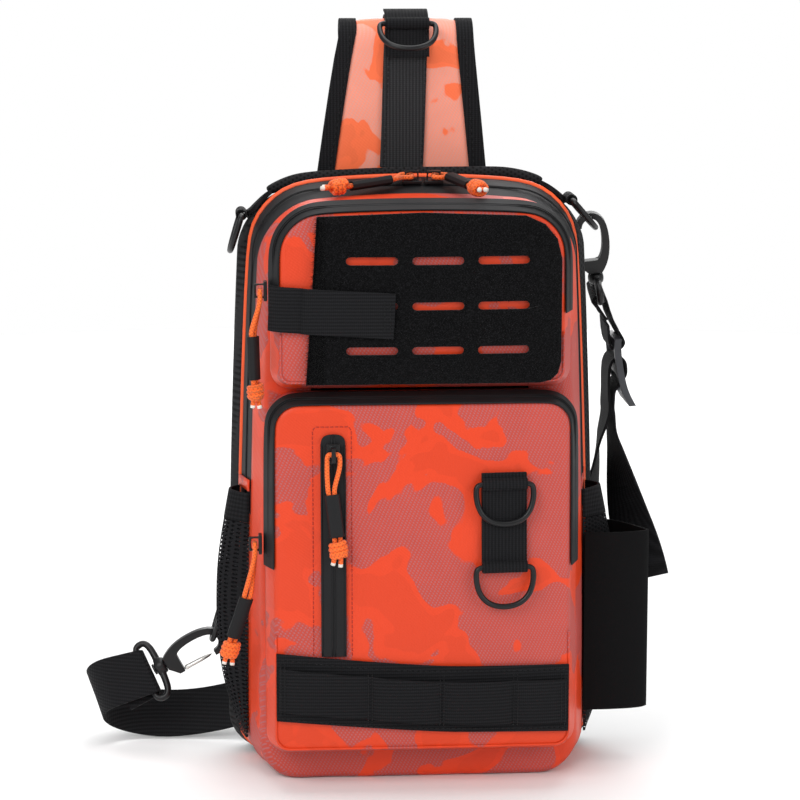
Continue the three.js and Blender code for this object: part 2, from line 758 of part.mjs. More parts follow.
  // Narrow webbing tacked on the band. Columns: share of the band's reach, stand-off.
  const loops = [
    [-0.985, 0], [-0.93, 1.2], [-0.66, 1.8], [-0.4, 1.2], [-0.355, 0.1],
    [-0.32, 2.2], [-0.12, 3.6], [0.08, 2.6], [0.125, 0.4], [0.17, 2.6], [0.37, 3.6], [0.57, 2.2],
    [0.61, 0.1], [0.66, 1.2], [0.8, 1.8], [0.94, 1.2], [0.985, 0],
  ];
  const onBand = PLATE_GAP + LAYER_GAP + WEBBING_WALL;
  addPiece(group, 'band_webbing', slab(loops.length - 1, 1, (u, v, layer) => {
    const [share, out] = loops[Math.round(u * (loops.length - 1))];
    const x = share * bandReach;
    const z = bandMiddle(x) - 1.2 + (v - 0.5) * WEBBING_WIDTH;
    return V(x, lowerFace(x, z) - onBand - out - layer * WEBBING_WALL, z);
  }), 'webbing_black');
}

function bandMiddle(x) {
  const side = x < BAND_TURN_X ? BAND_LEFT_RISE : -BAND_RIGHT_RISE;
  const share = Math.abs(x - BAND_TURN_X) / (LOWER_WIDTH / 2);
  return BAND_MIDDLE_Z + side * share;
}

// Webbing strip with round eyes: cylinders along its width are joined on, then bored.
function withEyes(strip, width, eyes, axis) {
  let solid = toSolid(strip);
  const barrel = (at, radius, length) => {
    const drum = new THREE.CylinderGeometry(radius, radius, length, 12);
    drum.applyQuaternion(new THREE.Quaternion().setFromUnitVectors(V(0, 1, 0), axis.clone().normalize()));
    drum.translate(at.x, at.y, at.z);
    return toSolid(drum);
  };
  for (const at of eyes) {
    solid = solid.add(barrel(at, BARREL, width));
  }
  for (const at of eyes) {
    solid = solid.subtract(barrel(at, EYE_BORE, width + 4));
  }
  return fromSolid(solid);
}

// D ring hanging from its straight bar: bar along X at the origin, bow towards -Z.
function dRing(width, height) {
  const half = width / 2 - WIRE_RADIUS;
  const drop = height - 2 * WIRE_RADIUS;
  const side = [[0.42, 0], [0.84, 0], [0.965, 0.045], [1, 0.16], [0.985, 0.42], [0.86, 0.7], [0.6, 0.9], [0.22, 1]];
  const right = side.map(([x, z]) => V(x * half, 0, -z * drop));
  const left = [...side].reverse().map(([x, z]) => V(-x * half, 0, -z * drop));
  return closedWire([...right, ...left], WIRE_RADIUS, 6, V(0, 1, 0));
}

// Two rings on doubled webbing on the lower pocket
function buildRingWebbing() {
  const group = addGroup();
  const upperEye = V(0, -BARREL, RING_WEB_LENGTH / 2 - 6);
  const lowerEye = V(0, -BARREL, BARREL - RING_WEB_LENGTH / 2);
  const rows = [RING_WEB_LENGTH / 2, BARREL - RING_WEB_LENGTH / 2].map((z) => ({
    at: V(0, -DOUBLE_WEBBING / 2, z),
    across: V(1, 0, 0),
  }));
  const webbing = withEyes(
    ribbon(rows, WEBBING_WIDTH, DOUBLE_WEBBING), WEBBING_WIDTH, [upperEye, lowerEye], V(1, 0, 0),
  );
  const holder = new THREE.Group();
  group.add(holder);
  seatOnFace(holder, lowerFace, RING_WEB_X, RING_WEB_Z, 0.7);
  addPiece(holder, 'ring_webbing', webbing, 'webbing_black');
  for (const [name, eye, lean] of [['ring_front_upper', upperEye, -0.09], ['ring_front_lower', lowerEye, -0.02]]) {
    const ring = addPiece(holder, name, dRing(RING_WIDTH, RING_HEIGHT), 'hardware_black');
    ring.position.copy(eye);
    ring.rotation.x = lean;
  }
}

// Shoulder strap. Rows run from the foot behind the bag over the fold to the free end.
// Columns: depth y, height z, width as a share of the strap's width at its foot.
const STRAP_FRONT_Y = BACK_Y + LAYER_GAP + STRAP_WALL / 2 + 0.4;
const STRAP_REAR_Y = STRAP_FRONT_Y + 2 * STRAP_FOLD_RADIUS;

function strapRows() {
  const rows = [
    [STRAP_FRONT_Y, STRAP_FOOT_Z, 1],
    [STRAP_FRONT_Y, THREE.MathUtils.lerp(STRAP_FOOT_Z, STRAP_FOLD_Z, 0.5), 0.89],
    [STRAP_FRONT_Y, STRAP_FOLD_Z, 0.765],
  ];
  for (const share of [0.17, 0.34, 0.5, 0.66, 0.83]) {
    const turn = Math.PI * share;
    rows.push([
      STRAP_FRONT_Y + STRAP_FOLD_RADIUS * (1 - Math.cos(turn)),
      STRAP_FOLD_Z + STRAP_FOLD_RADIUS * Math.sin(turn),
      0.74,
    ]);
  }
  const drop = STRAP_FOLD_Z - STRAP_END_Z;
  const rear = [
    [1, 0, 0.73], [0.93, 0.13, 0.71], [0.72, 0.3, 0.68], [0.46, 0.5, 0.63], [0.25, 0.75, 0.58],
    [0.19, 0.93, 0.52], [0.18, 0.955, 0.51], [0.18, 1, 0.5],
  ];
  for (const [back, down, wide] of rear) {
    rows.push([
      THREE.MathUtils.lerp(STRAP_FRONT_Y, STRAP_REAR_Y, back),
      STRAP_FOLD_Z - down * drop,
      wide,
    ]);
  }
  return rows.map(([y, z, wide], i) => {
    const x = STRAP_X + STRAP_LEAN * (Math.min(i, 3) / 3);
    return { at: V(x, y, z), half: (wide * STRAP_WIDTH) / 2 };
  });
}

function alongNormals(rows) {
  return rows.map((row, i) => {
    const before = rows[Math.max(i - 1, 0)].at;
    const after = rows[Math.min(i + 1, rows.length - 1)].at;
    const tangent = after.clone().sub(before).setX(0).normalize();
    return { ...row, tangent, normal: V(1, 0, 0).cross(tangent).normalize() };
  });
}

// Triangles that close the end of a folded binding
const FOLD_CAP = [[0, 1, 2], [0, 2, 3], [0, 3, 4], [0, 4, 7], [4, 5, 6], [4, 6, 7]];

function buildStrap() {
  const group = addGroup();
  const rows = alongNormals(strapRows());
  const thick = STRAP_WALL / 2;
  const edgeWall = STRAP_EDGE_WALL / 2;
  const pad = rows.map(({ at, half, normal }, i) => {
    const flat = i + 2 < rows.length ? thick : edgeWall;
    return [
      [-half, -edgeWall], [-half + BINDING_WIDTH, -edgeWall], [-half + BINDING_WIDTH + 3, -flat],
      [half - BINDING_WIDTH - 3, -flat], [half - BINDING_WIDTH, -edgeWall], [half, -edgeWall],
      [half, edgeWall], [half - BINDING_WIDTH, edgeWall], [half - BINDING_WIDTH - 3, flat],
      [-half + BINDING_WIDTH + 3, flat], [-half + BINDING_WIDTH, edgeWall], [-half, edgeWall],
    ].map(([x, n]) => at.clone().add(V(x, 0, 0)).addScaledVector(normal, n));
  });
  addPiece(group, 'shoulder_strap', loft(pad), 'coated_orange');

  // Binding folded round both edges and the end
  const inner = edgeWall + 2 * GAP;
  const outer = inner + BINDING_WALL;
  const section = [
    [1.5, -outer], [-BINDING_WIDTH + 0.6, -outer], [-BINDING_WIDTH + 0.6, -inner], [GAP, -inner],
    [GAP, inner], [-BINDING_WIDTH + 0.6, inner], [-BINDING_WIDTH + 0.6, outer], [1.5, outer],
  ];
  const last = rows[rows.length - 1];
  const edgeRow = (row, side) => ({
    at: row.at.clone().add(V(side * row.half, 0, 0)),
    out: V(side, 0, 0),
    normal: row.normal,
  });
  const corner = (side) => ({
    at: last.at.clone().add(V(side * last.half, 0, 0)),
    out: V(side, 0, 0).add(last.tangent),
    normal: last.normal,
  });
  const leftEdge = rows.slice(0, -1).map((row) => edgeRow(row, -1));
  const rightEdge = rows.slice(0, -1).reverse().map((row) => edgeRow(row, 1));
  const path = [...leftEdge, corner(-1), corner(1), ...rightEdge];
  addPiece(group, 'strap_binding', loft(path.map(({ at, out, normal }) => section.map(([o, n]) => at.clone()
    .addScaledVector(out, o)
    .addScaledVector(normal, n))), FOLD_CAP), 'webbing_black');

  // Centre webbing on the outer side
  const outside = thick + 1.5 * LAYER_GAP + WEBBING_WALL / 2;
  const webbing = rows.slice(1).map(({ at, normal }) => ({
    at: at.clone().addScaledVector(normal, outside),
    across: V(1, 0, 0),
  }));
  webbing.unshift({
    at: V(STRAP_X, STRAP_FRONT_Y - outside, BODY_HEIGHT + CROWN + 2),
    across: V(1, 0, 0),
  });
  webbing.length -= 1;
  addPiece(group, 'strap_webbing', ribbon(webbing, WEBBING_WIDTH, WEBBING_WALL), 'webbing_black');

  // Ring held down near the top of the fold by a tab
  const foldCentre = V(STRAP_X + STRAP_LEAN, STRAP_FRONT_Y + STRAP_FOLD_RADIUS, STRAP_FOLD_Z);
  const overWebbing = STRAP_FOLD_RADIUS + thick + 4 * LAYER_GAP + WEBBING_WALL;
  const onFold = (turn, radius) => foldCentre.clone()
    .add(V(0, -radius * Math.cos(turn), radius * Math.sin(turn)));
  const barRadius = overWebbing + BARREL;
  const bar = onFold(STRAP_RING_TURN, barRadius);
  const tabRadius = overWebbing + WEBBING_WALL / 2;
  const tabRows = [1.75, 1.5, 1.25, 1, 0.7, 0.45].map((turn) => ({
    at: onFold(turn, tabRadius),
    across: V(1, 0, 0),
  }));
  tabRows.push({
    at: foldCentre.clone().add(V(0, -tabRadius - 0.4, -6)),
    across: V(1, 0, 0),
  });
  addPiece(group, 'strap_ring_tab', withEyes(
    ribbon(tabRows, WEBBING_WIDTH, WEBBING_WALL), WEBBING_WIDTH, [bar], V(1, 0, 0),
  ), 'webbing_black');
  const ring = addPiece(group, 'strap_ring', dRing(RING_WIDTH, RING_HEIGHT), 'hardware_black');
  ring.position.copy(bar);
  ring.rotation.x = -STRAP_RING_LEAN;
}

// Carry handle over the top seam
function buildHandle() {
  const group = addGroup();
  const top = bodySpec(HANDLE_Y).top + CROWN + HANDLE_RADIUS + 2 * GAP;
  // Columns: share of the handle's half span, height against its top.
  const route = [
    [-1, -6.4], [-0.93, -4.2], [-0.78, -1.8], [-0.5, -0.3], [-0.2, 0.6], [0.1, 0.9], [0.4, 0.9],
    [0.62, 0.9], [0.76, 0], [0.86, -2.4], [0.93, -4.3],
  ];
  const points = route.map(([x, z]) => V(x * HANDLE_HALF_SPAN, HANDLE_Y, top + z));
  addPiece(group, 'carry_handle', tube(points, HANDLE_RADIUS, 8, 16), 'mesh_black');
}

// Point off the top corner at an angle up from level and depth y, moved straight out by a distance
function offCorner(side, turn, y, out) {
  const spec = bodySpec(y);
  const half = halfWidth(spec, spec.top - TOP_CORNER);
  const x = half - TOP_CORNER * (1 - Math.cos(turn));
  const lift = CROWN * Math.sin(turn) * Math.max(1 - (x / half) ** 2, 0);
  const z = spec.top - TOP_CORNER * (1 - Math.sin(turn)) + lift;
  return V(side * (x + out * Math.cos(turn)), y, z + out * Math.sin(turn));
}

// Middle of the right upper ring's bow, and the middle of the lock that hangs from its hook
const rightRingWire = () => offCorner(1, SIDE_RING_TURN_RIGHT, SIDE_RING_Y, BARREL + 3 * GAP).addScaledVector(
  V(Math.sin(SIDE_RING_HANG_RIGHT), 0, -Math.cos(SIDE_RING_HANG_RIGHT)),
  RING_HEIGHT - 2 * WIRE_RADIUS,
);
const rightHookWire = () => rightRingWire().add(V(...HOOK_ON_RING));
const lockCentre = () => rightHookWire().add(V(...LOCK_BELOW_HOOK));

// Side rings at the top corners and low on the left
function buildSideRings() {
  const group = addGroup();
  for (const side of [-1, 1]) {
    const name = side < 0 ? 'left' : 'right';
    const eyeTurn = side < 0 ? SIDE_RING_TURN_LEFT : SIDE_RING_TURN_RIGHT;
    const hang = side < 0 ? SIDE_RING_HANG_LEFT : SIDE_RING_HANG_RIGHT;
    const eye = offCorner(side, eyeTurn, SIDE_RING_Y, BARREL + 3 * GAP);
    const strip = slab(2, 4, (u, v, layer) => offCorner(
      side,
      eyeTurn + v * SIDE_TAB_TURN,
      SIDE_RING_Y + (u - 0.5) * SIDE_TAB_WIDTH,
      2 * GAP + layer * DOUBLE_WEBBING,
    ));
    addPiece(group, `ring_tab_${name}_upper`,
      withEyes(strip, SIDE_TAB_WIDTH, [eye], V(0, 1, 0)), 'webbing_black');
    const ring = addPiece(group, `ring_${name}_upper`, dRing(RING_WIDTH, RING_HEIGHT), 'hardware_black');
    ring.position.copy(eye);
    ring.quaternion.copy(barAlongY(side, hang));
  }

  const spec = bodySpec(LOW_RING_Y);
  const lowEye = lowRingEye();
  const lowRows = [22, 12, 0].map((up) => ({
    at: V(-(halfWidth(spec, LOW_RING_Z + up) + 2 * GAP + DOUBLE_WEBBING / 2), LOW_RING_Y, LOW_RING_Z + up),
    across: V(0, 1, 0),
  }));
  addPiece(group, 'ring_tab_left_lower', withEyes(
    ribbon(lowRows, LOW_TAB_WIDTH, DOUBLE_WEBBING), LOW_TAB_WIDTH, [lowEye], V(0, 1, 0),
  ), 'webbing_black');
  const ring = addPiece(group, 'ring_left_lower', dRing(SMALL_RING_WIDTH, SMALL_RING_HEIGHT), 'hardware_black');
  ring.position.copy(lowEye);
  ring.quaternion.copy(barAlongY(-1, LOW_RING_HANG));
}

const LOW_RING_Y = SIDE_RING_Y;
const lowRingEye = () => V(
  -(halfWidth(bodySpec(LOW_RING_Y), LOW_RING_Z) + BARREL + 2 * GAP),
  LOW_RING_Y,
  LOW_RING_Z,
);

// Turn that lays a ring's bar along Y and lets its bow hang outwards by an angle from straight down.
function barAlongY(side, hang) {
  const down = V(side * Math.sin(hang), 0, -Math.cos(hang));
  const bar = V(0, 1, 0);
  const zAxis = down.clone().negate();
  const yAxis = zAxis.clone().cross(bar);
  return new THREE.Quaternion().setFromRotationMatrix(new THREE.Matrix4().makeBasis(bar, yAxis, zAxis));
}

// Snap hook. Local frame: swivel face at the origin, hook up along Z, spine on +X.
function hookShape(points) {
  return polygon(points.map(([x, z]) => [x * HOOK_WIDTH, z * HOOK_LENGTH]));
}

function plateXZ(shape, thickness) {
  const plate = new THREE.ExtrudeGeometry(shape, { depth: thickness, bevelEnabled: false, curveSegments: 3 });
  plate.rotateX(Math.PI / 2);
  plate.translate(0, thickness / 2, 0);
  return plate;
}

function buildHook(group, side, frame, ringTurn) {
  const hook = new THREE.Group();
  hook.position.copy(frame.at);
  hook.quaternion.copy(frame.turn);
  group.add(hook);
  // Outline as shares of the hook's width and length
  const outlineShares = [
    [-0.2, 0], [0.2, 0], [0.36, 0.12], [0.47, 0.3], [0.5, 0.5], [0.48, 0.68], [0.4, 0.85], [0.22, 0.96],
    [-0.02, 1], [-0.27, 0.97], [-0.45, 0.89], [-0.5, 0.8], [-0.49, 0.752], [-0.33, 0.752], [-0.31, 0.82],
    [-0.19, 0.885], [-0.02, 0.905], [0.12, 0.87], [0.22, 0.79], [0.27, 0.65], [0.27, 0.46], [0.22, 0.3],
    [0.11, 0.215], [-0.48, 0.215], [-0.48, 0.13], [-0.3, 0.05],
  ];
  const stemHead = -SWIVEL_HEIGHT - 0.8;
  const stem = new THREE.LatheGeometry([
    [0, stemHead - 1.1], [SWIVEL_STEM + 1.3, stemHead - 1.1], [SWIVEL_STEM + 1.3, stemHead],
    [SWIVEL_STEM, stemHead], [SWIVEL_STEM, 1], [0, 1],
  ].map(([radius, z]) => new THREE.Vector2(radius, z)), 10);
  stem.rotateX(Math.PI / 2);
  const bodySolid = toSolid(plateXZ(hookShape(outlineShares), HOOK_THICKNESS)).add(toSolid(stem));
  addPiece(hook, `hook_${side}_body`, fromSolid(bodySolid), 'hardware_black');

  const gateX = -0.415 * HOOK_WIDTH;
  const pivotZ = 0.215 * HOOK_LENGTH + GAP + GATE_RADIUS;
  const gateTop = 0.752 * HOOK_LENGTH - GAP - 0.1;
  const gate = new THREE.Shape();
  gate.moveTo(-GATE_RADIUS, 0);
  gate.absarc(0, 0, GATE_RADIUS, Math.PI, 2 * Math.PI, false);
  gate.lineTo(GATE_RADIUS, gateTop - pivotZ);
  gate.lineTo(-GATE_RADIUS, gateTop - pivotZ);
  gate.closePath();
  const gatePiece = addPiece(hook, `hook_${side}_gate`, plateXZ(gate, HOOK_THICKNESS - 1.4), 'steel');
  gatePiece.position.set(gateX, 0, pivotZ);

  const half = HOOK_RING_WIDTH / 2 - HOOK_RING_RADIUS;
  const low = -HOOK_RING_LENGTH;
  const bow = [
    [0.3, 0.3], [0.72, 0.33], [0.95, 0.46], [1, 0.66], [0.96, 0.88], [0.86, 1], [0.4, 1],
  ];
  const path = [
    ...bow.map(([x, z]) => V(x * half, 0, z * low)),
    ...[...bow].reverse().map(([x, z]) => V(-x * half, 0, z * low)),
  ];
  const bossOuter = SWIVEL_STEM + GAP + 2.3;
  const boss = new THREE.CylinderGeometry(bossOuter, bossOuter, SWIVEL_HEIGHT, 12);
  boss.rotateX(Math.PI / 2);
  boss.translate(0, 0, -GAP - SWIVEL_HEIGHT / 2);
  const bore = new THREE.CylinderGeometry(SWIVEL_STEM + GAP, SWIVEL_STEM + GAP, SWIVEL_HEIGHT * 3, 12);
  bore.rotateX(Math.PI / 2);
  bore.translate(0, 0, -SWIVEL_HEIGHT / 2);
  const loop = toSolid(closedWire(path, HOOK_RING_RADIUS, 6, V(0, 1, 0)));
  const ring = addPiece(hook, `hook_${side}_ring`, fromSolid(loop.add(toSolid(boss)).subtract(toSolid(bore))),
    'hardware_black');
  ring.rotation.z = ringTurn;
}

// Frame with local Z along the hook and local X towards its spine
function hookFrame(wire, along, spineSide) {
  const zAxis = along.clone().normalize();
  const xAxis = spineSide.clone().addScaledVector(zAxis, -spineSide.dot(zAxis)).normalize();
  const yAxis = zAxis.clone().cross(xAxis);
  const turn = new THREE.Quaternion().setFromRotationMatrix(new THREE.Matrix4().makeBasis(xAxis, yAxis, zAxis));
  const at = wire.clone().addScaledVector(zAxis, -WIRE_IN_HOOK * HOOK_LENGTH);
  return { at, turn, xAxis, yAxis, zAxis };
}

const WIRE_IN_HOOK = 0.815;

// Ribbon looped round a bar: straight rows either side and a half turn round it.
function roundBar(centre, down, side, radius, axis, steps) {
  const rows = [];
  for (let i = 0; i <= steps; i += 1) {
    const turn = Math.PI * (i / steps);
    const at = centre.clone()
      .addScaledVector(side, radius * Math.cos(turn))
      .addScaledVector(down, -radius * Math.sin(turn));
    rows.push({ at, across: axis, width: SLING_WIDTH - 2 });
  }
  return rows;
}

function buildHooks() {
  const group = addGroup();

  // Left hook on the low ring, its webbing curling round on the floor
  const lowDown = V(-Math.sin(LOW_RING_HANG), 0, -Math.cos(LOW_RING_HANG));
  const lowWire = lowRingEye().addScaledVector(lowDown, SMALL_RING_HEIGHT - 2 * WIRE_RADIUS);
  const left = hookFrame(lowWire, V(0.883, 0, 0.469), V(-0.469, 0, 0.883));
  const curlAcross = V(-0.39, 0.54, 0.745).normalize();
  const leftTurn = Math.atan2(curlAcross.dot(left.yAxis), curlAcross.dot(left.xAxis));
  buildHook(group, 'left', left, leftTurn);
  const leftBar = left.at.clone().addScaledVector(left.zAxis, -HOOK_RING_LENGTH);
  const wrap = HOOK_RING_RADIUS + 2 * LAYER_GAP + WEBBING_WALL / 2;
  const outward = curlAcross.clone().cross(left.zAxis).normalize();
  if (outward.y > 0) {
    outward.negate();
  }
  // Route of the left webbing from the strap's end to the bar; columns: x, y, z, across x, y, z
  const leftRoute = [
    [STRAP_X + STRAP_LEAN, 48, STRAP_END_Z - 6, 1, 0, 0],
    [-4, 49, 132, 0.99, 0.05, 0.1],
    [-14, 52, 100, 0.9, 0.12, 0.4],
    [-34, 55, 66, 0.7, 0.3, 0.65],
    [-64, 57, 38, 0.4, 0.5, 0.76],
    [-96, 58, 21, 0.12, 0.66, 0.74],
    [-122, 58.5, 14.8, -0.02, 0.68, 0.73],
    [-146, 60, 12.8, -0.08, 0.62, 0.77],
    [-166, 60.5, 15.6, -0.2, 0.58, 0.77],
    [-180.5, 55, 21.5, -0.3, 0.54, 0.77],
    [-187, 46, 29, -0.34, 0.52, 0.77],
    [-184, 36.5, 36.5, -0.36, 0.52, 0.76],
    [-176, 30, 41.5, -0.38, 0.53, 0.75],
  ];
  const leftRows = smoothRows(leftRoute, 26);
  const toBar = left.zAxis.clone().negate();
  leftRows.push(...roundBar(leftBar, toBar, outward, wrap, curlAcross, 5));
  leftRows.push({
    at: leftBar.clone().addScaledVector(outward, -1.4).addScaledVector(toBar, 12),
    across: curlAcross,
  });
  leftRows.push({
    at: leftBar.clone().addScaledVector(outward, -1.2).addScaledVector(toBar, 17),
    across: curlAcross,
  });
  addPiece(group, 'webbing_left', ribbon(leftRows, SLING_WIDTH, WEBBING_WALL), 'webbing_black');

  // Right hook on the upper ring, with a sewn loop of webbing to the ladder lock
  const right = hookFrame(rightHookWire(), V(-0.11, -0.22, 0.963), V(1, 0, 0));
  buildHook(group, 'right', right, Math.PI / 2);
  const rightBar = right.at.clone().addScaledVector(right.zAxis, -HOOK_RING_LENGTH);
  const lock = lockPoint(-0.45, LOCK_LENGTH * 0.445);
  const down = lock.clone().sub(rightBar).setY(0).normalize();
  const side = V(-down.z, 0, down.x);
  const barAxis = right.yAxis.clone();
  const barDown = down.clone().addScaledVector(barAxis, -down.dot(barAxis)).normalize();
  const barSide = barDown.clone().cross(barAxis).normalize();
  if (barSide.dot(side) < 0) {
    barSide.negate();
  }
  const lockWrap = LOCK_WALL * 0.85 + LAYER_GAP + WEBBING_WALL / 2;
  const middle = rightBar.clone().lerp(lock, 0.5);
  const loopRows = [
    { at: middle.clone().addScaledVector(side, -1.1).addScaledVector(down, -1), across: V(0, 1, 0) },
    ...roundBar(rightBar, barDown, barSide.clone().negate(), wrap, barAxis, 5),
    { at: middle.clone().addScaledVector(side, 1.1), across: V(0, 1, 0) },
    ...roundBar(lock, down.clone().negate(), side, lockWrap, V(0, 1, 0), 5),
    { at: middle.clone().addScaledVector(side, -1.1).addScaledVector(down, 2), across: V(0, 1, 0) },
  ];
  addPiece(group, 'webbing_hook_right', ribbon(loopRows, SLING_WIDTH, WEBBING_WALL), 'webbing_black');

  // Adjustable webbing: sewn low on the back, threaded round the lock's middle bar, with a free tail
  const threaded = [
    [-8, -26], [-6.9, -12], [-6.2, -2], [-5, 4.2], [-2.8, 7.6], [0.4, 8.4], [3.3, 6.4], [4.1, 2],
    [3.4, -2.2], [0, -6.6], [-3.3, -10.8], [-4.3, -16], [-4.6, -24],
  ].map(([x, z]) => {
    const p = lockPoint(x, z);
    return [p.x, p.y, p.z, 0, 1, 0];
  });
  // Columns: x from the lock's middle, y, height as a share of the lock's, across x, y, z
  const lockMiddle = lockCentre();
  const rightRow = ([x, y, share, ax, ay, az]) => [lockMiddle.x + x, y, share * lockMiddle.z, ax, ay, az];
  const rightRoute = [
    ...[
      [-40.5, 41.8, 0.1532, 1, 0, 0.05],
      [-38.5, 43, 0.2252, 1, 0.05, 0.15],
      [-30.5, 48, 0.3694, 0.93, 0.33, 0.15],
      [-19.5, 55, 0.5405, 0.72, 0.69, 0.1],
      [-12.2, 54, 0.6982, 0.35, 0.93, 0],
      [-9.6, 49.5, 0.8108, 0.1, 0.99, 0],
    ].map(rightRow),
    ...threaded,
    ...[
      [-2.2, 47.5, 0.8378, -0.03, 1, 0],
      [0.6, 46.5, 0.7748, -0.2, 0.98, 0],
      [6.5, 44.5, 0.6396, -0.62, 0.78, 0],
      [12.5, 42.5, 0.5315, -0.86, 0.5, 0.05],
      [17.5, 41, 0.4324, -0.99, 0.12, 0.12],
    ].map(rightRow),
  ];
  addPiece(group, 'webbing_right', ribbon(smoothRows(rightRoute, 160), SLING_WIDTH, WEBBING_WALL), 'webbing_black');
  addPiece(group, 'ladder_lock', ladderLock(), 'buckle_grey');
}

function lockPoint(x, z) {
  return lockCentre().add(V(x - z * LOCK_SLOPE, 0, z + x * LOCK_SLOPE));
}

// Curved plate with two slots
function ladderLock() {
  const spine = [[0, 0.5], [-0.7, 0.4], [-0.6, 0.22], [0, 0.05], [0.9, -0.15], [2.6, -0.32], [6, -0.5]];
  const half = LOCK_WALL / 2;
  const front = spine.map(([x, z]) => [x + half, z * LOCK_LENGTH]);
  const back = [...spine].reverse().map(([x, z]) => [x - half, z * LOCK_LENGTH]);
  const plate = new THREE.ExtrudeGeometry(polygon([...front, ...back]), { depth: LOCK_WIDTH, bevelEnabled: false });
  plate.rotateX(Math.PI / 2);
  plate.translate(0, LOCK_WIDTH / 2, 0);
  let solid = toSolid(plate);
  for (const [low, high] of [[0.13, 0.39], [-0.36, -0.035]]) {
    const height = (high - low) * LOCK_LENGTH;
    const slot = new THREE.BoxGeometry(40, SLING_WIDTH + 1.4, height);
    slot.translate(0, 0, low * LOCK_LENGTH + height / 2);
    solid = solid.subtract(toSolid(slot));
  }
  const lock = fromSolid(solid);
  lock.rotateY(-Math.atan(LOCK_SLOPE));
  lock.translate(...lockCentre().toArray());
  return lock;
}

// Side pockets: mesh panels that stand off the side band, each with an elastic top edge.
// Share of the bulge at each height share, from the bottom to the top edge.
const BULGE_ROWS = [[0, 0], [0.1, 0.42], [0.28, 0.8], [0.5, 1], [0.72, 0.94], [0.9, 0.66], [1, 0.5]];

function bulgeAt(share) {
  let i = 0;
  while (i + 2 < BULGE_ROWS.length && share > BULGE_ROWS[i + 1][0]) {
    i += 1;
  }
  const [s0, b0] = BULGE_ROWS[i];
  const [s1, b1] = BULGE_ROWS[i + 1];
  return THREE.MathUtils.lerp(b0, b1, (share - s0) / (s1 - s0));
}

function sidePoint(side, bulge, u, z, out) {
  const front = ZIP_FRONT_Y + 1;
  const back = SEAM_Y - PIPING_RADIUS - 3 * GAP;
  const y = THREE.MathUtils.lerp(front, back, u);
  const across = Math.sin(Math.PI * u ** 1.25) ** 0.8;
  const up = bulgeAt((z - SIDE_LOW_Z) / (SIDE_TOP_Z - SIDE_LOW_Z));
  return V(side * (halfWidth(bodySpec(y), z) + LAYER_GAP + out + bulge * across * up), y, z);
}

function buildSidePockets() {
  const group = addGroup();
  const split = SIDE_TOP_Z - ELASTIC_HEIGHT;
  for (const [side, name, bulge] of [[-1, 'left', LEFT_BULGE], [1, 'right', RIGHT_BULGE]]) {
    const panel = slab(7, 6, (u, v, layer) => sidePoint(
      side, bulge, u, THREE.MathUtils.lerp(SIDE_LOW_Z, split - GAP, v), layer * MESH_WALL,
    ));
    addPiece(group, `mesh_pocket_${name}`, panel, 'mesh_black');
    const elastic = slab(7, 1, (u, v, layer) => sidePoint(
      side, bulge, u, THREE.MathUtils.lerp(split, SIDE_TOP_Z, v), layer * WEBBING_WALL,
    ));
    addPiece(group, `elastic_${name}`, elastic, 'webbing_black');
  }

  // Flat elastic loop on the right side; columns: share of its reach from the side, depth y
  const rootX = halfWidth(bodySpec(ZIP_FRONT_Y), LOOP_TOP_Z - LOOP_HEIGHT / 2);
  const section = [
    [0.012, -14.6], [0.4, -15], [0.8, -13.2], [0.95, -10.6], [1, -8], [0.955, -4.6],
    [0.86, 2], [0.78, 8], [0.66, 15], [0.5, 20.5], [0.3, 24.6],
  ];
  const rows = section.map(([share, y]) => ({
    at: V(rootX + share * LOOP_REACH, y, LOOP_TOP_Z - LOOP_HEIGHT / 2),
    across: V(0, 0, 1),
  }));
  addPiece(group, 'side_loop', ribbon(rows, LOOP_HEIGHT, WEBBING_WALL), 'webbing_black');
}

// Zip pulls. Slider: a plate with a bridge that the cord passes through.
// Local frame: zip along Z, out towards -Y.
function sliderShape() {
  const plate = new THREE.BoxGeometry(SLIDER_WIDTH, 2, SLIDER_LENGTH);
  plate.translate(0, -1, 0);
  const tall = 2 + BRIDGE_CLEAR + 1.2;
  const bridge = new THREE.BoxGeometry(2.4, tall, SLIDER_LENGTH * 0.72);
  bridge.translate(0, -tall / 2, 0);
  const hole = new THREE.BoxGeometry(4, BRIDGE_CLEAR, SLIDER_LENGTH * 0.58);
  hole.translate(0, -2 - BRIDGE_CLEAR / 2, 0);
  return fromSolid(toSolid(plate).add(toSolid(bridge)).subtract(toSolid(hole)));
}

function sleeveShape() {
  const outer = stadium(SLEEVE_WIDTH, SLEEVE_DEPTH);
  outer.holes.push(stadium(SLEEVE_WIDTH - 1.8, SLEEVE_DEPTH - 1.8));
  const sleeve = new THREE.ExtrudeGeometry(outer, { depth: SLEEVE_LENGTH, bevelEnabled: false, curveSegments: 2 });
  sleeve.translate(0, 0, -SLEEVE_LENGTH / 2);
  return sleeve;
}

function stadium(width, depth) {
  const shape = new THREE.Shape();
  const reach = (width - depth) / 2;
  shape.moveTo(-reach, -depth / 2);
  shape.lineTo(reach, -depth / 2);
  shape.absarc(reach, 0, depth / 2, -Math.PI / 2, Math.PI / 2, false);
  shape.lineTo(-reach, depth / 2);
  shape.absarc(-reach, 0, depth / 2, Math.PI / 2, 1.5 * Math.PI, false);
  return shape;
}

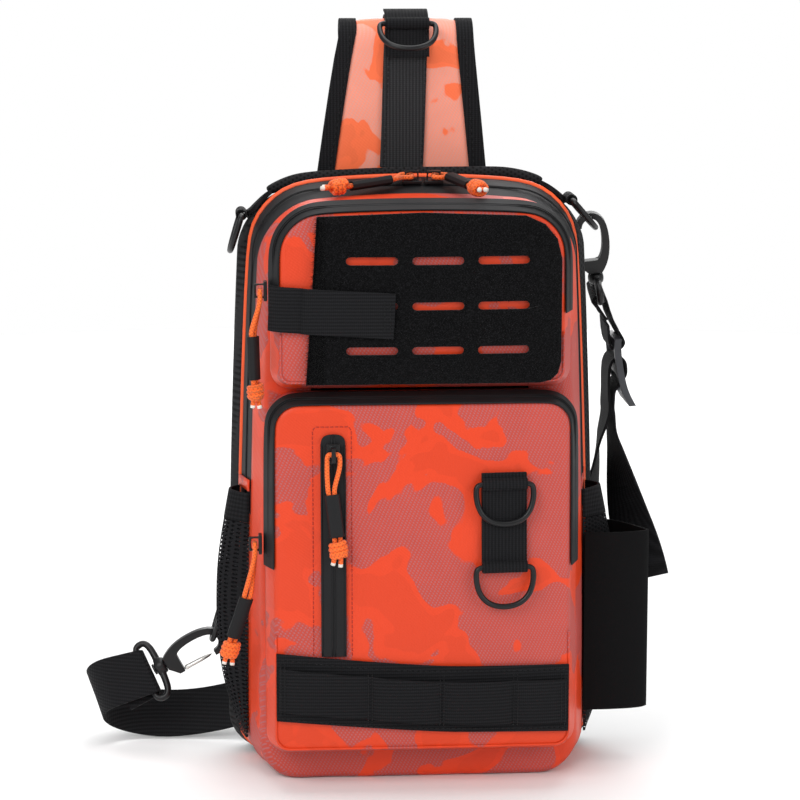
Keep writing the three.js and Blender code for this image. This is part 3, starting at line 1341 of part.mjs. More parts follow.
// Rows of each pull: slider place, its outward and along directions, then the sleeve's start,
// the sleeve's side direction, the knot and the tail ends.
function pullRows() {
  const upperSide = UPPER_WIDTH / 2 + GAP + ZIP_STRIP_WALL + GAP;
  const lowerSide = LOWER_WIDTH / 2 + GAP + ZIP_STRIP_WALL + GAP;
  return [
    {
      name: 'top_left', at: V(-2, 3, topZ(-2, 3)), out: V(0, -0.14, 0.99), along: V(1, 0, 0),
      sleeve: [V(-14.5, -6, 339.6), V(-37.5, -14, 337)], side: V(0.2, -0.9, 0.25),
      knot: V(-44, -16.5, 337), tails: [V(-54, -20, 336.4), V(-53, -14.5, 336.6)],
    },
    {
      name: 'top_right', at: V(10.5, 3, topZ(10.5, 3)), out: V(0, -0.14, 0.99), along: V(-1, 0, 0),
      sleeve: [V(19.6, -3.5, 340.8), V(29, -25.4, 338.2)], side: V(0.85, 0.5, 0),
      knot: V(32, -32.4, 337.4), tails: [V(36.4, -41, 337), V(32, -42.5, 337.2)],
    },
    {
      name: 'left_upper', at: V(-upperSide, -46, 283), out: V(-1, 0, 0), along: V(0, 0, 1),
      sleeve: [V(-93, -48, 258), V(-92.4, -49, 234)], side: V(0.5, 0.86, 0),
      knot: V(-92, -49.4, 227.5), tails: [V(-93.6, -50, 218.5), V(-89.6, -50, 218)],
    },
    {
      name: 'left_lower', at: V(-lowerSide, -47, 141), out: V(-1, 0, 0), along: V(0, 0, 1),
      sleeve: [V(-98, -49, 110.5), V(-105.6, -48, 87.7)], side: V(0.9, 0.35, -0.28),
      knot: V(-107.2, -47.6, 81), tails: [V(-111, -48, 72.5), V(-106.4, -47, 71.5)],
    },
    {
      name: 'centre', at: V(CENTRE_ZIP_X, lowerFace(CENTRE_ZIP_X, 195) - 3.2, 195), out: V(0, -1, 0),
      along: V(0, 0, 1), sleeve: [V(-51, lowerFace(-51, 172) - 6.2, 173), V(-48.2, lowerFace(-49, 149) - 5.8, 149.2)],
      side: V(1, 0, 0.1), knot: V(-47.6, lowerFace(-48, 142) - 7, 142.6),
      tails: [V(-50.6, lowerFace(-50, 133) - 6, 133.5), V(-46.4, lowerFace(-46, 132) - 6, 132.5)],
    },
  ];
}

// Height of the top band at x and depth y
function topZ(x, y) {
  const spec = bodySpec(y);
  return spec.top + CROWN * (1 - (x / halfWidth(spec, spec.top - TOP_CORNER)) ** 2) + 2 * GAP;
}

function buildPulls() {
  const group = addGroup();
  for (const row of pullRows()) {
    const { name, at, out, along, sleeve, side, knot, tails } = row;
    const zAxis = along.clone().normalize();
    const yAxis = out.clone().negate().normalize();
    const xAxis = yAxis.clone().cross(zAxis).normalize();
    const slider = addPiece(group, `slider_${name}`, sliderShape(), 'hardware_black');
    slider.position.copy(at);
    slider.quaternion.setFromRotationMatrix(new THREE.Matrix4().makeBasis(xAxis, yAxis, zAxis));

    const [from, to] = sleeve;
    const lie = to.clone().sub(from).normalize();
    const across = side.clone().addScaledVector(lie, -side.dot(lie)).normalize();
    const deep = lie.clone().cross(across).normalize();
    const sleeveMesh = addPiece(group, `sleeve_${name}`, sleeveShape(), 'zip_black');
    sleeveMesh.position.copy(from.clone().addScaledVector(lie, SLEEVE_LENGTH / 2));
    sleeveMesh.quaternion.setFromRotationMatrix(new THREE.Matrix4().makeBasis(across, deep, lie));

    const strand = CORD_RADIUS + GAP / 2;
    const bridge = at.clone().addScaledVector(out.clone().normalize(), 2 + BRIDGE_CLEAR / 2);
    const flip = Math.sign(xAxis.dot(across)) || 1;
    const bow = xAxis.clone().multiplyScalar(flip);
    const ahead = zAxis.clone().multiplyScalar(Math.sign(zAxis.dot(from.clone().sub(bridge))) || 1);
    const leg = (forward, wide) => bridge.clone()
      .addScaledVector(ahead, forward)
      .addScaledVector(bow, wide);
    const inSleeve = (place, sign) => from.clone()
      .addScaledVector(lie, place)
      .addScaledVector(across, sign * strand);
    const half = (sign) => [
      leg(0.2, sign * 2.8),
      leg(SLIDER_LENGTH / 2, sign * 3.5),
      inSleeve(-2.5, sign * 1.15),
      inSleeve(1, sign),
      inSleeve(SLEEVE_LENGTH / 2, sign),
      inSleeve(SLEEVE_LENGTH + 1, sign),
      knot.clone().addScaledVector(across, sign * 1.5),
      tails[sign < 0 ? 0 : 1],
    ];
    const route = [...half(-1).reverse(), bridge, ...half(1)];
    const cord = toSolid(tube(route, CORD_RADIUS, 8, CORD_STEPS));
    const ball = new THREE.SphereGeometry(1, 7, 5);
    ball.scale(KNOT_WIDTH / 2, KNOT_WIDTH / 2.4, KNOT_LENGTH / 2);
    ball.applyQuaternion(sleeveMesh.quaternion);
    ball.translate(knot.x, knot.y, knot.z);
    addPiece(group, `cord_${name}`, fromSolid(cord.add(toSolid(ball))), 'bright_orange');
  }
}

buildBody();
buildPockets();
buildFrontTrim();
buildRingWebbing();
buildStrap();
buildHandle();
buildSideRings();
buildHooks();
buildSidePockets();
buildPulls();

export default bag;
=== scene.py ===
"""Crossbody sling bag dressed over its shared frame: cloth, webbing, zips, cords and hardware.

Lengths are typed in millimetres, as in the part's own source, and become metres in mm().
"""

import logging
import math
from collections.abc import Callable, Sequence
from dataclasses import dataclass, field
from enum import Enum

import bmesh
import bpy
from mathutils import Matrix, Vector, noise
from mathutils.bvhtree import BVHTree


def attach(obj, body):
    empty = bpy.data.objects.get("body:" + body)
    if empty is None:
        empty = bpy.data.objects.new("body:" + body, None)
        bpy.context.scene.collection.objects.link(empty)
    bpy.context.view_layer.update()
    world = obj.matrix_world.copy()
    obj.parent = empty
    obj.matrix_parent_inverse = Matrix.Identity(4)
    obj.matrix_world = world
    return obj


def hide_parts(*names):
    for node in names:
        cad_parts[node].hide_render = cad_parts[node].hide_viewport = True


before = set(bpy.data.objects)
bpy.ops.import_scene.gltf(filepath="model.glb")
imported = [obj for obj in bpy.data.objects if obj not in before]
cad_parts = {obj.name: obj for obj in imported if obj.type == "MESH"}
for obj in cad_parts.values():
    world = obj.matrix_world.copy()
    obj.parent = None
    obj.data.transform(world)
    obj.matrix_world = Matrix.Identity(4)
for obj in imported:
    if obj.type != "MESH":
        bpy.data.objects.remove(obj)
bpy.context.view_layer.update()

LOG = logging.getLogger("sling_bag")
MM = 0.001
BAG = "bag"

Colour = tuple[float, float, float]
Pair = tuple[float, float]
Triple = tuple[float, float, float]
Term = float | bpy.types.NodeSocket


def mm(x: float, y: float, z: float) -> Vector:
    """A point typed in millimetres, in metres."""
    return Vector((x, y, z)) * MM


def lerp(a: float, b: float, share: float) -> float:
    """The value a share of the way from a to b."""
    return a + (b - a) * share


def clamp(value: float, low: float = 0.0, high: float = 1.0) -> float:
    """The value kept between low and high."""
    return max(low, min(high, value))


def smooth(value: float, low: float, high: float) -> float:
    """A soft step from 0 at low to 1 at high."""
    share = clamp((value - low) / (high - low))
    return share * share * (3 - 2 * share)


# Shader nodes


class NodeBench:
    """Adds, sets and links the nodes of one material or effect."""

    def __init__(self, tree: bpy.types.NodeTree) -> None:
        self.tree = tree

    def add(self, kind: str, **settings: object) -> bpy.types.Node:
        """Adds a node of a kind and sets its properties."""
        node = self.tree.nodes.new(kind)
        for key, value in settings.items():
            setattr(node, key, value)
        return node

    def put(self, socket: bpy.types.NodeSocket, term: Term | Sequence[float]) -> None:
        """Links an output to a socket, or types a value on it."""
        if isinstance(term, bpy.types.NodeSocket):
            self.tree.links.new(term, socket)
        else:
            socket.default_value = term

    def math(self, operation: str, *terms: Term) -> bpy.types.NodeSocket:
        """The result of one arithmetic step."""
        node = self.add("ShaderNodeMath", operation=operation)
        for socket, term in zip(node.inputs, terms):
            self.put(socket, term)
        return node.outputs[0]

    def along(self, where: bpy.types.NodeSocket, direction: Triple) -> bpy.types.NodeSocket:
        """How far a place lies along a direction."""
        node = self.add("ShaderNodeVectorMath", operation="DOT_PRODUCT")
        self.put(node.inputs[0], where)
        node.inputs[1].default_value = direction
        return node.outputs["Value"]

    def speckle(
        self, where: bpy.types.NodeSocket, scale: float, detail: float = 2.0, warp: float = 0.0
    ) -> bpy.types.NodeSocket:
        """Noise at a place.

        Args:
            where: the coordinates that it reads.
            scale: grains in a metre.
            detail: octaves.
            warp: distortion of the coordinates.

        Returns:
            The noise's value socket.
        """
        node = self.add("ShaderNodeTexNoise")
        self.put(node.inputs["Vector"], where)
        node.inputs["Scale"].default_value = scale
        node.inputs["Detail"].default_value = detail
        node.inputs["Distortion"].default_value = warp
        return node.outputs[0]

    def step(self, value: Term, low: float, high: float) -> bpy.types.NodeSocket:
        """A soft step of a value, from 0 at low to 1 at high."""
        node = self.add("ShaderNodeMapRange", interpolation_type="SMOOTHSTEP")
        self.put(node.inputs["Value"], value)
        node.inputs["From Min"].default_value = low
        node.inputs["From Max"].default_value = high
        return node.outputs["Result"]

    def blend(self, mask: Term, under: Term | Colour, over: Term | Colour) -> bpy.types.NodeSocket:
        """Mixes two colours by a mask."""
        node = self.add("ShaderNodeMix", data_type="RGBA")
        self.put(node.inputs[0], mask)
        for socket, term in ((node.inputs[6], under), (node.inputs[7], over)):
            self.put(socket, (*term, 1.0) if isinstance(term, tuple) else term)
        return node.outputs[2]

    def bump(self, height: Term, depth: float, strength: float = 1.0) -> bpy.types.NodeSocket:
        """A normal bumped by a height.

        Args:
            height: the relief, from 0 to 1.
            depth: how deep a relief of 1 is, in millimetres.
            strength: share of the effect.

        Returns:
            The bumped normal's socket.
        """
        node = self.add("ShaderNodeBump")
        node.inputs["Strength"].default_value = strength
        node.inputs["Distance"].default_value = depth * MM
        self.put(node.inputs["Height"], height)
        return node.outputs["Normal"]

    def effect(self, kind: "Effect", **inputs: Term) -> bpy.types.Node:
        """Places an effect's group in this tree with its inputs."""
        node = self.add("ShaderNodeGroup", node_tree=kind.tree())
        for name, term in inputs.items():
            self.put(node.inputs[name], term)
        return node


def camo_patches(bench: NodeBench, entry: bpy.types.Node) -> dict[str, bpy.types.NodeSocket]:
    """Large soft-edged patches of a common camouflage."""
    where = entry.outputs["Place"]
    broad = bench.speckle(where, 19.0, 2.5, 0.9)
    small = bench.speckle(where, 46.0, 1.5, 0.4)
    mixed = bench.math("ADD", broad, bench.math("MULTIPLY", small, 0.3))
    return {"Patch": bench.step(mixed, 0.655, 0.67), "Second": bench.step(mixed, 0.73, 0.745)}


def twill_dots(bench: NodeBench, entry: bpy.types.Node) -> dict[str, bpy.types.NodeSocket]:
    """Fine dots in slanted rows, which run round every side of the bag."""
    where = entry.outputs["Place"]
    rate = bench.math("DIVIDE", math.tau, entry.outputs["Pitch"])
    wide = bench.math("MULTIPLY", bench.along(where, (1.0, 0.9, 0.0)), rate)
    high = bench.math("MULTIPLY", bench.along(where, (0.0, 0.45, 0.8)), rate)
    rows = bench.math("SINE", bench.math("MULTIPLY_ADD", high, 0.4, wide))
    breaks = bench.math("SINE", high)
    dots = bench.math("MULTIPLY_ADD", bench.math("MULTIPLY", rows, breaks), 0.5, 0.5)
    return {"Dots": dots}


def webbing_ribs(bench: NodeBench, entry: bpy.types.Node) -> dict[str, bpy.types.NodeSocket]:
    """Lengthwise ribs broken by the crossing threads of woven webbing."""
    rate = bench.math("DIVIDE", math.tau, entry.outputs["Pitch"])
    rib = bench.math("SINE", bench.math("MULTIPLY", entry.outputs["Across"], rate))
    thread_rate = bench.math("MULTIPLY", rate, 1.7)
    thread = bench.math("SINE", bench.math("MULTIPLY", entry.outputs["Along"], thread_rate))
    woven = bench.math("MULTIPLY_ADD", thread, 0.2, bench.math("MULTIPLY_ADD", rib, 0.32, 0.5))
    return {"Relief": woven}


def mesh_holes(bench: NodeBench, entry: bpy.types.Node) -> dict[str, bpy.types.NodeSocket]:
    """Round holes in a six-sided lattice."""
    rate = bench.math("DIVIDE", math.tau, entry.outputs["Pitch"])
    wide = bench.math("MULTIPLY", entry.outputs["Across"], rate)
    high = bench.math("MULTIPLY", entry.outputs["Along"], bench.math("MULTIPLY", rate, 0.866))
    half = bench.math("MULTIPLY", wide, 0.5)
    total = bench.math("COSINE", wide)
    for slanted in (bench.math("ADD", half, high), bench.math("SUBTRACT", high, half)):
        total = bench.math("ADD", total, bench.math("COSINE", slanted))
    return {"Hole": bench.step(total, 0.55, 1.35), "Relief": bench.math("MULTIPLY_ADD", total, -0.22, 0.66)}


def pile_fuzz(bench: NodeBench, entry: bpy.types.Node) -> dict[str, bpy.types.NodeSocket]:
    """Tangled loop pile."""
    where = entry.outputs["Place"]
    coarse = bench.speckle(where, 420.0, 3.0, 1.4)
    fine = bench.speckle(where, 1300.0, 2.0, 0.6)
    tangle = bench.math("ADD", bench.math("MULTIPLY", coarse, 0.65), bench.math("MULTIPLY", fine, 0.35))
    # Tone is paler where the fine noise, which also lifts the relief, is high: a painted highlight on the
    # loop tips
    return {"Relief": tangle, "Tone": bench.step(fine, 0.42, 0.72)}


def fine_grain(bench: NodeBench, entry: bpy.types.Node) -> dict[str, bpy.types.NodeSocket]:
    """Fine moulded or rubbed grain, and slow blotches of wear."""
    where = entry.outputs["Place"]
    return {"Relief": bench.speckle(where, 2200.0, 2.0), "Blotch": bench.speckle(where, 60.0, 3.0, 0.3)}


class Effect(Enum):
    """The patterns that several finishes share, each a node group built once."""

    CAMO = ("camo_patches", camo_patches, ("Place",), ("Patch", "Second"))
    TWILL = ("twill_dots", twill_dots, ("Place", "Pitch"), ("Dots",))
    RIBS = ("webbing_ribs", webbing_ribs, ("Across", "Along", "Pitch"), ("Relief",))
    HOLES = ("mesh_holes", mesh_holes, ("Across", "Along", "Pitch"), ("Hole", "Relief"))
    PILE = ("pile_fuzz", pile_fuzz, ("Place",), ("Relief", "Tone"))
    GRAIN = ("fine_grain", fine_grain, ("Place",), ("Relief", "Blotch"))

    def tree(self) -> bpy.types.NodeTree:
        """The effect's node group, made on its first use."""
        name, build, inputs, outputs = self.value
        found = bpy.data.node_groups.get(name)
        if found:
            return found
        tree = bpy.data.node_groups.new(name, "ShaderNodeTree")
        for socket in inputs:
            kind = "NodeSocketVector" if socket == "Place" else "NodeSocketFloat"
            tree.interface.new_socket(name=socket, in_out="INPUT", socket_type=kind)
        for socket in outputs:
            tree.interface.new_socket(name=socket, in_out="OUTPUT", socket_type="NodeSocketFloat")
        bench = NodeBench(tree)
        made = build(bench, bench.add("NodeGroupInput"))
        leave = bench.add("NodeGroupOutput")
        for socket in outputs:
            bench.put(leave.inputs[socket], made[socket])
        return tree


# Finishes


@dataclass(frozen=True)
class Finish:
    """A surface with fine grain; the kinds below add their own patterns.

    Attributes:
        name: the material's name.
        colour: its base colour, linear.
        roughness: its roughness.
        metallic: 1 for bare metal.
        specular: specular level.
        sheen: weight of the cloth sheen.
        depth: depth of its relief in millimetres.
    """

    name: str
    colour: Colour
    roughness: float = 0.5
    metallic: float = 0.0
    specular: float = 0.5
    sheen: float = 0.0
    depth: float = 0.05

    def material(self) -> bpy.types.Material:
        """The Blender material, made on its first use."""
        found = bpy.data.materials.get(self.name)
        if found:
            return found
        material = bpy.data.materials.new(self.name)
        material.use_nodes = True
        material.diffuse_color = (*self.colour, 1.0)
        bench = NodeBench(material.node_tree)
        bench.tree.nodes.clear()
        shader = bench.add("ShaderNodeBsdfPrincipled")
        bench.put(bench.add("ShaderNodeOutputMaterial").inputs["Surface"], shader.outputs[0])
        shader.inputs["Base Color"].default_value = (*self.colour, 1.0)
        shader.inputs["Roughness"].default_value = self.roughness
        shader.inputs["Metallic"].default_value = self.metallic
        shader.inputs["Specular IOR Level"].default_value = self.specular
        shader.inputs["Sheen Weight"].default_value = self.sheen
        shader.inputs["Sheen Roughness"].default_value = 0.4
        self.dress(bench, shader, bench.add("ShaderNodeTexCoord"))
        return material

    def tinted(self, share: float) -> Colour:
        """The base colour made lighter or darker."""
        return tuple(clamp(part * share) for part in self.colour)

    def dress(self, bench: NodeBench, shader: bpy.types.Node, place: bpy.types.Node) -> None:
        """Adds the pattern of the finish: grain, and blotches in colour and roughness."""
        grain = bench.effect(Effect.GRAIN, Place=place.outputs["Object"])
        tone = bench.blend(grain.outputs["Blotch"], self.tinted(0.75), self.tinted(1.3))
        bench.put(shader.inputs["Base Color"], tone)
        rough = bench.math("MULTIPLY_ADD", grain.outputs["Blotch"], 0.16, self.roughness - 0.08)
        bench.put(shader.inputs["Roughness"], rough)
        bench.put(shader.inputs["Normal"], bench.bump(grain.outputs["Relief"], self.depth, 0.5))


@dataclass(frozen=True)
class CoatedCloth(Finish):
    """Coated cloth in a common camouflage: plain bright patches over a ground of dotted twill.

    Attributes:
        ground: colour between the patches.
        dot: colour of the twill's dots.
        pitch: spacing of the dots in millimetres.
        dotting: how strongly the dots show.
    """

    ground: Colour = (0.54, 0.062, 0.04)
    dot: Colour = (0.36, 0.15, 0.17)
    pitch: float = 2.1
    dotting: float = 0.62

    def dress(self, bench: NodeBench, shader: bpy.types.Node, place: bpy.types.Node) -> None:
        """Adds the patches, the dots and the relief of the weave."""
        where = place.outputs["Object"]
        camo = bench.effect(Effect.CAMO, Place=where)
        twill = bench.effect(Effect.TWILL, Place=where, Pitch=self.pitch * MM)
        grain = bench.effect(Effect.GRAIN, Place=where)
        dots = twill.outputs["Dots"]
        open_ground = bench.math("SUBTRACT", 1.0, camo.outputs["Patch"])
        share = bench.math("MULTIPLY", open_ground, self.dotting)
        shown = bench.math("MULTIPLY", bench.step(dots, 0.5, 0.8), share)
        worn = tuple(0.84 * part for part in self.ground)
        shade = bench.blend(grain.outputs["Blotch"], self.ground, worn)
        base = bench.blend(camo.outputs["Patch"], shade, self.colour)
        deep = bench.blend(camo.outputs["Second"], base, self.tinted(0.93))
        bench.put(shader.inputs["Base Color"], bench.blend(shown, deep, self.dot))
        rough = bench.math("MULTIPLY_ADD", open_ground, 0.1, self.roughness)
        bench.put(shader.inputs["Roughness"], rough)
        relief = bench.math("MULTIPLY_ADD", dots, 0.8, bench.math("MULTIPLY", grain.outputs["Relief"], 0.3))
        bench.put(shader.inputs["Normal"], bench.bump(relief, self.depth, 0.6))


@dataclass(frozen=True)
class Webbing(Finish):
    """Ribbed woven webbing.

    Attributes:
        across: direction of the strip's width.
        run: direction of its length.
        pitch: spacing of the ribs in millimetres.
    """

    colour: Colour = (0.0075, 0.0075, 0.0085)
    roughness: float = 0.8
    specular: float = 0.12
    sheen: float = 0.03
    depth: float = 0.3
    across: Triple = (0.0, 0.0, 1.0)
    run: Triple = (1.0, 0.0, 0.0)
    pitch: float = 1.9

    def dress(self, bench: NodeBench, shader: bpy.types.Node, place: bpy.types.Node) -> None:
        """Adds the ribs and the slightly paler threads on their crests: painted highlight on the crests,
        painted shade in the troughs between them.
        """
        where = place.outputs["Object"]
        ribs = bench.effect(
            Effect.RIBS,
            Across=bench.along(where, self.across),
            Along=bench.along(where, self.run),
            Pitch=self.pitch * MM,
        )
        grain = bench.effect(Effect.GRAIN, Place=where)
        # painted light: the colour follows the ribs, paler on their crests as painted highlight and darker in
        # the troughs as painted shade; the grain adds random tone
        painted_crest_highlight = bench.step(ribs.outputs["Relief"], 0.2, 0.95)
        tone = bench.math("MULTIPLY_ADD", grain.outputs["Relief"], 0.4, bench.math("MULTIPLY", painted_crest_highlight, 0.7))
        bench.put(shader.inputs["Base Color"], bench.blend(tone, self.tinted(0.45), self.tinted(1.9)))
        bench.put(shader.inputs["Normal"], bench.bump(ribs.outputs["Relief"], self.depth, 0.9))


@dataclass(frozen=True)
class MeshCloth(Finish):
    """Knitted mesh with holes.

    Attributes:
        across: direction across the holes' rows.
        pitch: spacing of the holes in millimetres.
        pierced: True where one sees through the holes.
    """

    roughness: float = 0.85
    specular: float = 0.15
    sheen: float = 0.04
    depth: float = 0.35
    across: Triple = (0.3, 1.0, 0.0)
    pitch: float = 2.6
    pierced: bool = False

    def dress(self, bench: NodeBench, shader: bpy.types.Node, place: bpy.types.Node) -> None:
        """Adds the lattice of holes as relief and shade, and as openings where it is pierced."""
        where = place.outputs["Object"]
        holes = bench.effect(
            Effect.HOLES,
            Across=bench.along(where, self.across),
            Along=bench.along(where, (0.0, 0.0, 1.0)),
            Pitch=self.pitch * MM,
        )
        hole = holes.outputs["Hole"]
        bench.put(shader.inputs["Base Color"], bench.blend(hole, self.tinted(1.4), self.tinted(0.35)))
        bench.put(shader.inputs["Normal"], bench.bump(holes.outputs["Relief"], self.depth, 0.9))
        if self.pierced:
            bench.put(shader.inputs["Alpha"], bench.math("SUBTRACT", 1.0, hole))


@dataclass(frozen=True)
class Pile(Finish):
    """Fuzzy loop pile of a hook-and-loop panel."""

    def dress(self, bench: NodeBench, shader: bpy.types.Node, place: bpy.types.Node) -> None:
        """Adds the tangle of loops as relief, and paler tips: a painted highlight where the fine noise raises
        the loops.
        """
        pile = bench.effect(Effect.PILE, Place=place.outputs["Object"])
        # painted highlight: the loops are paler where their fine relief rises
        tone = bench.blend(pile.outputs["Tone"], self.tinted(0.5), self.tinted(2.4))
        bench.put(shader.inputs["Base Color"], tone)
        bench.put(shader.inputs["Normal"], bench.bump(pile.outputs["Relief"], self.depth, 1.0))


@dataclass(frozen=True)
class Braid(Finish):
    """Braided cord, patterned along its own UV map: x round the cord in turns, y along it in metres."""

    def dress(self, bench: NodeBench, shader: bpy.types.Node, place: bpy.types.Node) -> None:
        """Adds the crossing strands of the braid, as relief and as colour: painted shade in the grooves
        between strands, paler on their crests.
        """
        split = bench.add("ShaderNodeSeparateXYZ")
        bench.put(split.inputs[0], place.outputs["UV"])
        turn = bench.math("MULTIPLY", split.outputs["X"], math.tau * 3)
        run = bench.math("MULTIPLY", split.outputs["Y"], math.tau / (1.9 * MM))
        left = bench.math("SINE", bench.math("ADD", run, turn))
        right = bench.math("SINE", bench.math("SUBTRACT", run, turn))
        relief = bench.math("MULTIPLY_ADD", bench.math("MAXIMUM", left, right), 0.5, 0.5)
        # painted shade: the colour follows the relief, darker in the grooves between strands and paler on
        # their crests
        bench.put(shader.inputs["Base Color"], bench.blend(relief, self.tinted(0.62), self.tinted(1.12)))
        bench.put(shader.inputs["Normal"], bench.bump(relief, self.depth, 0.9))


@dataclass(frozen=True)
class Backdrop(Finish):
    """Pale studio floor."""

    def dress(self, bench: NodeBench, shader: bpy.types.Node, place: bpy.types.Node) -> None:
        """Adds a faint mottle, so that the floor isn't one flat value."""
        mottle = bench.speckle(place.outputs["Object"], 3.0)
        bench.put(shader.inputs["Base Color"], bench.blend(mottle, self.colour, self.tinted(0.985)))


COATED = CoatedCloth("coated_camo_cloth", (0.71, 0.052, 0.011), roughness=0.42, specular=0.32, depth=0.12)
# The strap's copy of the coated cloth: its paler patches, salmon ground and dots are painted sheen of the
# coating.
STRAP_SHEEN_COATED = CoatedCloth(
    "strap_camo_cloth_painted_sheen", (0.93, 0.16, 0.05), roughness=0.42, specular=0.45, depth=0.1,
    ground=(0.92, 0.31, 0.21), dot=(0.7, 0.34, 0.3),
)
PIPING = Finish("orange_piping", (0.86, 0.085, 0.01), roughness=0.5, depth=0.1)
CORD_ORANGE = Braid("orange_cord", (0.95, 0.14, 0.012), roughness=0.65, sheen=0.2, depth=0.3)
CUT_TIP = Finish("cut_cord_tip", (0.8, 0.74, 0.68), roughness=0.7)
ZIP_TAPE = Finish("rubber_zip_tape", (0.0075, 0.0075, 0.0085), roughness=0.58, specular=0.24, depth=0.04)
ZIP_LIP = Finish("zip_lip", (0.006, 0.006, 0.007), roughness=0.5, specular=0.25)
BAND_WEB = Webbing("webbing_level")
UPRIGHT_WEB = Webbing("webbing_upright", across=(1.0, 0.0, 0.0), run=(0.0, 0.4, 1.0))
STRAP_WEB = Webbing(
    "webbing_strap", (0.02, 0.02, 0.0215), roughness=0.75, specular=0.15, sheen=0.05,
    across=(1.0, 0.0, 0.0), run=(0.0, 0.4, 1.0),
)
SIDE_WEB = Webbing("webbing_side", across=(0.25, 1.0, 0.0), run=(0.0, 0.0, 1.0))
ELASTIC = Webbing(
    "ribbed_elastic", (0.007, 0.007, 0.008), roughness=0.85, depth=0.35, run=(0.3, 1.0, 0.0), pitch=2.4
)
SIDE_CLOTH = Finish("plain_black_cloth", (0.0042, 0.0042, 0.0046), roughness=0.85, specular=0.1, depth=0.25)
SIDE_MESH = MeshCloth(
    "side_pocket_mesh", (0.007, 0.007, 0.008), roughness=0.8, specular=0.12, sheen=0.0,
    pitch=2.1, pierced=True,
)
BACK_MESH = MeshCloth("padded_back_mesh", (0.012, 0.012, 0.013), depth=0.5, across=(1.0, 0.6, 0.0), pitch=3.1)
HANDLE_MESH = MeshCloth("handle_mesh", (0.01, 0.01, 0.011), across=(1.0, 0.0, 0.0), pitch=2.2)
LOOP_PILE = Pile("loop_pile", (0.005, 0.005, 0.0055), roughness=0.95, sheen=0.12, specular=0.06, depth=1.2)
PLASTIC = Finish("black_moulding", (0.006, 0.006, 0.0068), roughness=0.36, specular=0.32, depth=0.02)
GREY_PLASTIC = Finish("grey_moulding", (0.05, 0.053, 0.06), roughness=0.45, specular=0.35, depth=0.03)
STEEL = Finish("pale_steel", (0.62, 0.61, 0.58), roughness=0.3, metallic=1.0, depth=0.01)
BLACK_THREAD = Finish("black_thread", (0.009, 0.009, 0.01), roughness=0.7, sheen=0.05, specular=0.2)
RED_THREAD = Finish("dark_red_thread", (0.4, 0.02, 0.008), roughness=0.6)
FLOOR = Backdrop("pale_floor", (0.94, 0.94, 0.94), roughness=0.9, specular=0.1)


# Outlines of the panels, in millimetres


@dataclass(frozen=True)
class Outline:
    """Rounded front outline of a panel, whose sides lean in towards a crowned top.

    Attributes:
        wide: width at the bottom.
        narrow: width at the top.
        low: height of its lower edge.
        top: height of its upper edge at the corners.
        low_corner: radius of the lower corners.
        top_corner: radius of the upper corners.
        crown: rise of the top edge at its middle.
    """

    wide: float
    narrow: float
    low: float
    top: float
    low_corner: float
    top_corner: float
    crown: float

    def half_width(self, z: float) -> float:
        """Half the width at a height."""
        share = clamp((z - self.low) / (self.top - self.low))
        return self.wide / 2 - (self.wide - self.narrow) / 2 * share * share

    def right_half(self, inset: float) -> list[Pair]:
        """Points from the lower right corner's foot to the upper right corner's top."""
        low, top = self.low + inset, self.top - inset
        low_r, top_r = max(self.low_corner - inset, 1.5), max(self.top_corner - inset, 1.5)
        points: list[Pair] = []
        for i in range(13):
            turn = math.pi / 2 * (i / 12 - 1)
            x = self.half_width(low + low_r) - inset - low_r + low_r * math.cos(turn)
            points.append((x, low + low_r + low_r * math.sin(turn)))
        for i in range(1, 12):
            z = lerp(low + low_r, top - top_r, i / 12)
            points.append((self.half_width(z) - inset, z))
        for i in range(13):
            turn = math.pi / 2 * i / 12
            x = self.half_width(top - top_r) - inset - top_r + top_r * math.cos(turn)
            points.append((x, self.lifted(x, top - top_r + top_r * math.sin(turn), inset)))
        return points

    def lifted(self, x: float, z: float, inset: float) -> float:
        """A height raised by the crown of the top edge."""
        top = self.top - inset
        radius = max(self.top_corner - inset, 1.5)
        high = clamp((z - (top - radius)) / radius)
        near = 1 - (x / (self.half_width(top - radius) - inset)) ** 2
        return z + self.crown * high * max(near, 0.0)

    def arch(self, inset: float) -> list[Pair]:
        """Points of the crowned top edge between its corners, from right to left."""
        end = self.right_half(inset)[-1][0]
        levels = [end * (1 - i / 12) for i in range(1, 24)]
        return [(x, self.lifted(x, self.top - inset, inset)) for x in levels]

    def sides(self, inset: float) -> dict[str, list[Pair]]:
        """The outline in four runs, which meet at the middles of its corners."""
        right = self.right_half(inset)
        low_mid, top_mid = 6, len(right) - 7
        low_arc, top_arc = right[: low_mid + 1], right[top_mid:]
        return {
            "low": [(-x, z) for x, z in reversed(low_arc)] + low_arc,
            "right": right[low_mid : top_mid + 1],
            "left": [(-x, z) for x, z in right[low_mid : top_mid + 1]],
            "top": [(-x, z) for x, z in top_arc] + self.arch(inset)[::-1] + top_arc[::-1],
        }

    def loop(self, inset: float) -> list[Pair]:
        """The whole outline, round from the middle of its lower edge."""
        right = self.right_half(inset)
        left = [(-x, z) for x, z in reversed(right)]
        return [(0.0, self.low + inset), *right, *self.arch(inset), *left, (0.0, self.low + inset)]


def even_line(points: Sequence[Sequence[float]], count: int) -> list[Vector]:
    """A polyline's points at equal distances."""
    vectors = [Vector(point) for point in points]
    lengths = [0.0]
    for a, b in zip(vectors, vectors[1:]):
        lengths.append(lengths[-1] + (b - a).length)
    made, segment = [], 0
    for i in range(count):
        goal = lengths[-1] * i / (count - 1)
        while segment < len(lengths) - 2 and lengths[segment + 1] < goal:
            segment += 1
        span = lengths[segment + 1] - lengths[segment]
        share = (goal - lengths[segment]) / span if span > 0 else 0.0
        made.append(vectors[segment].lerp(vectors[segment + 1], clamp(share)))
    return made


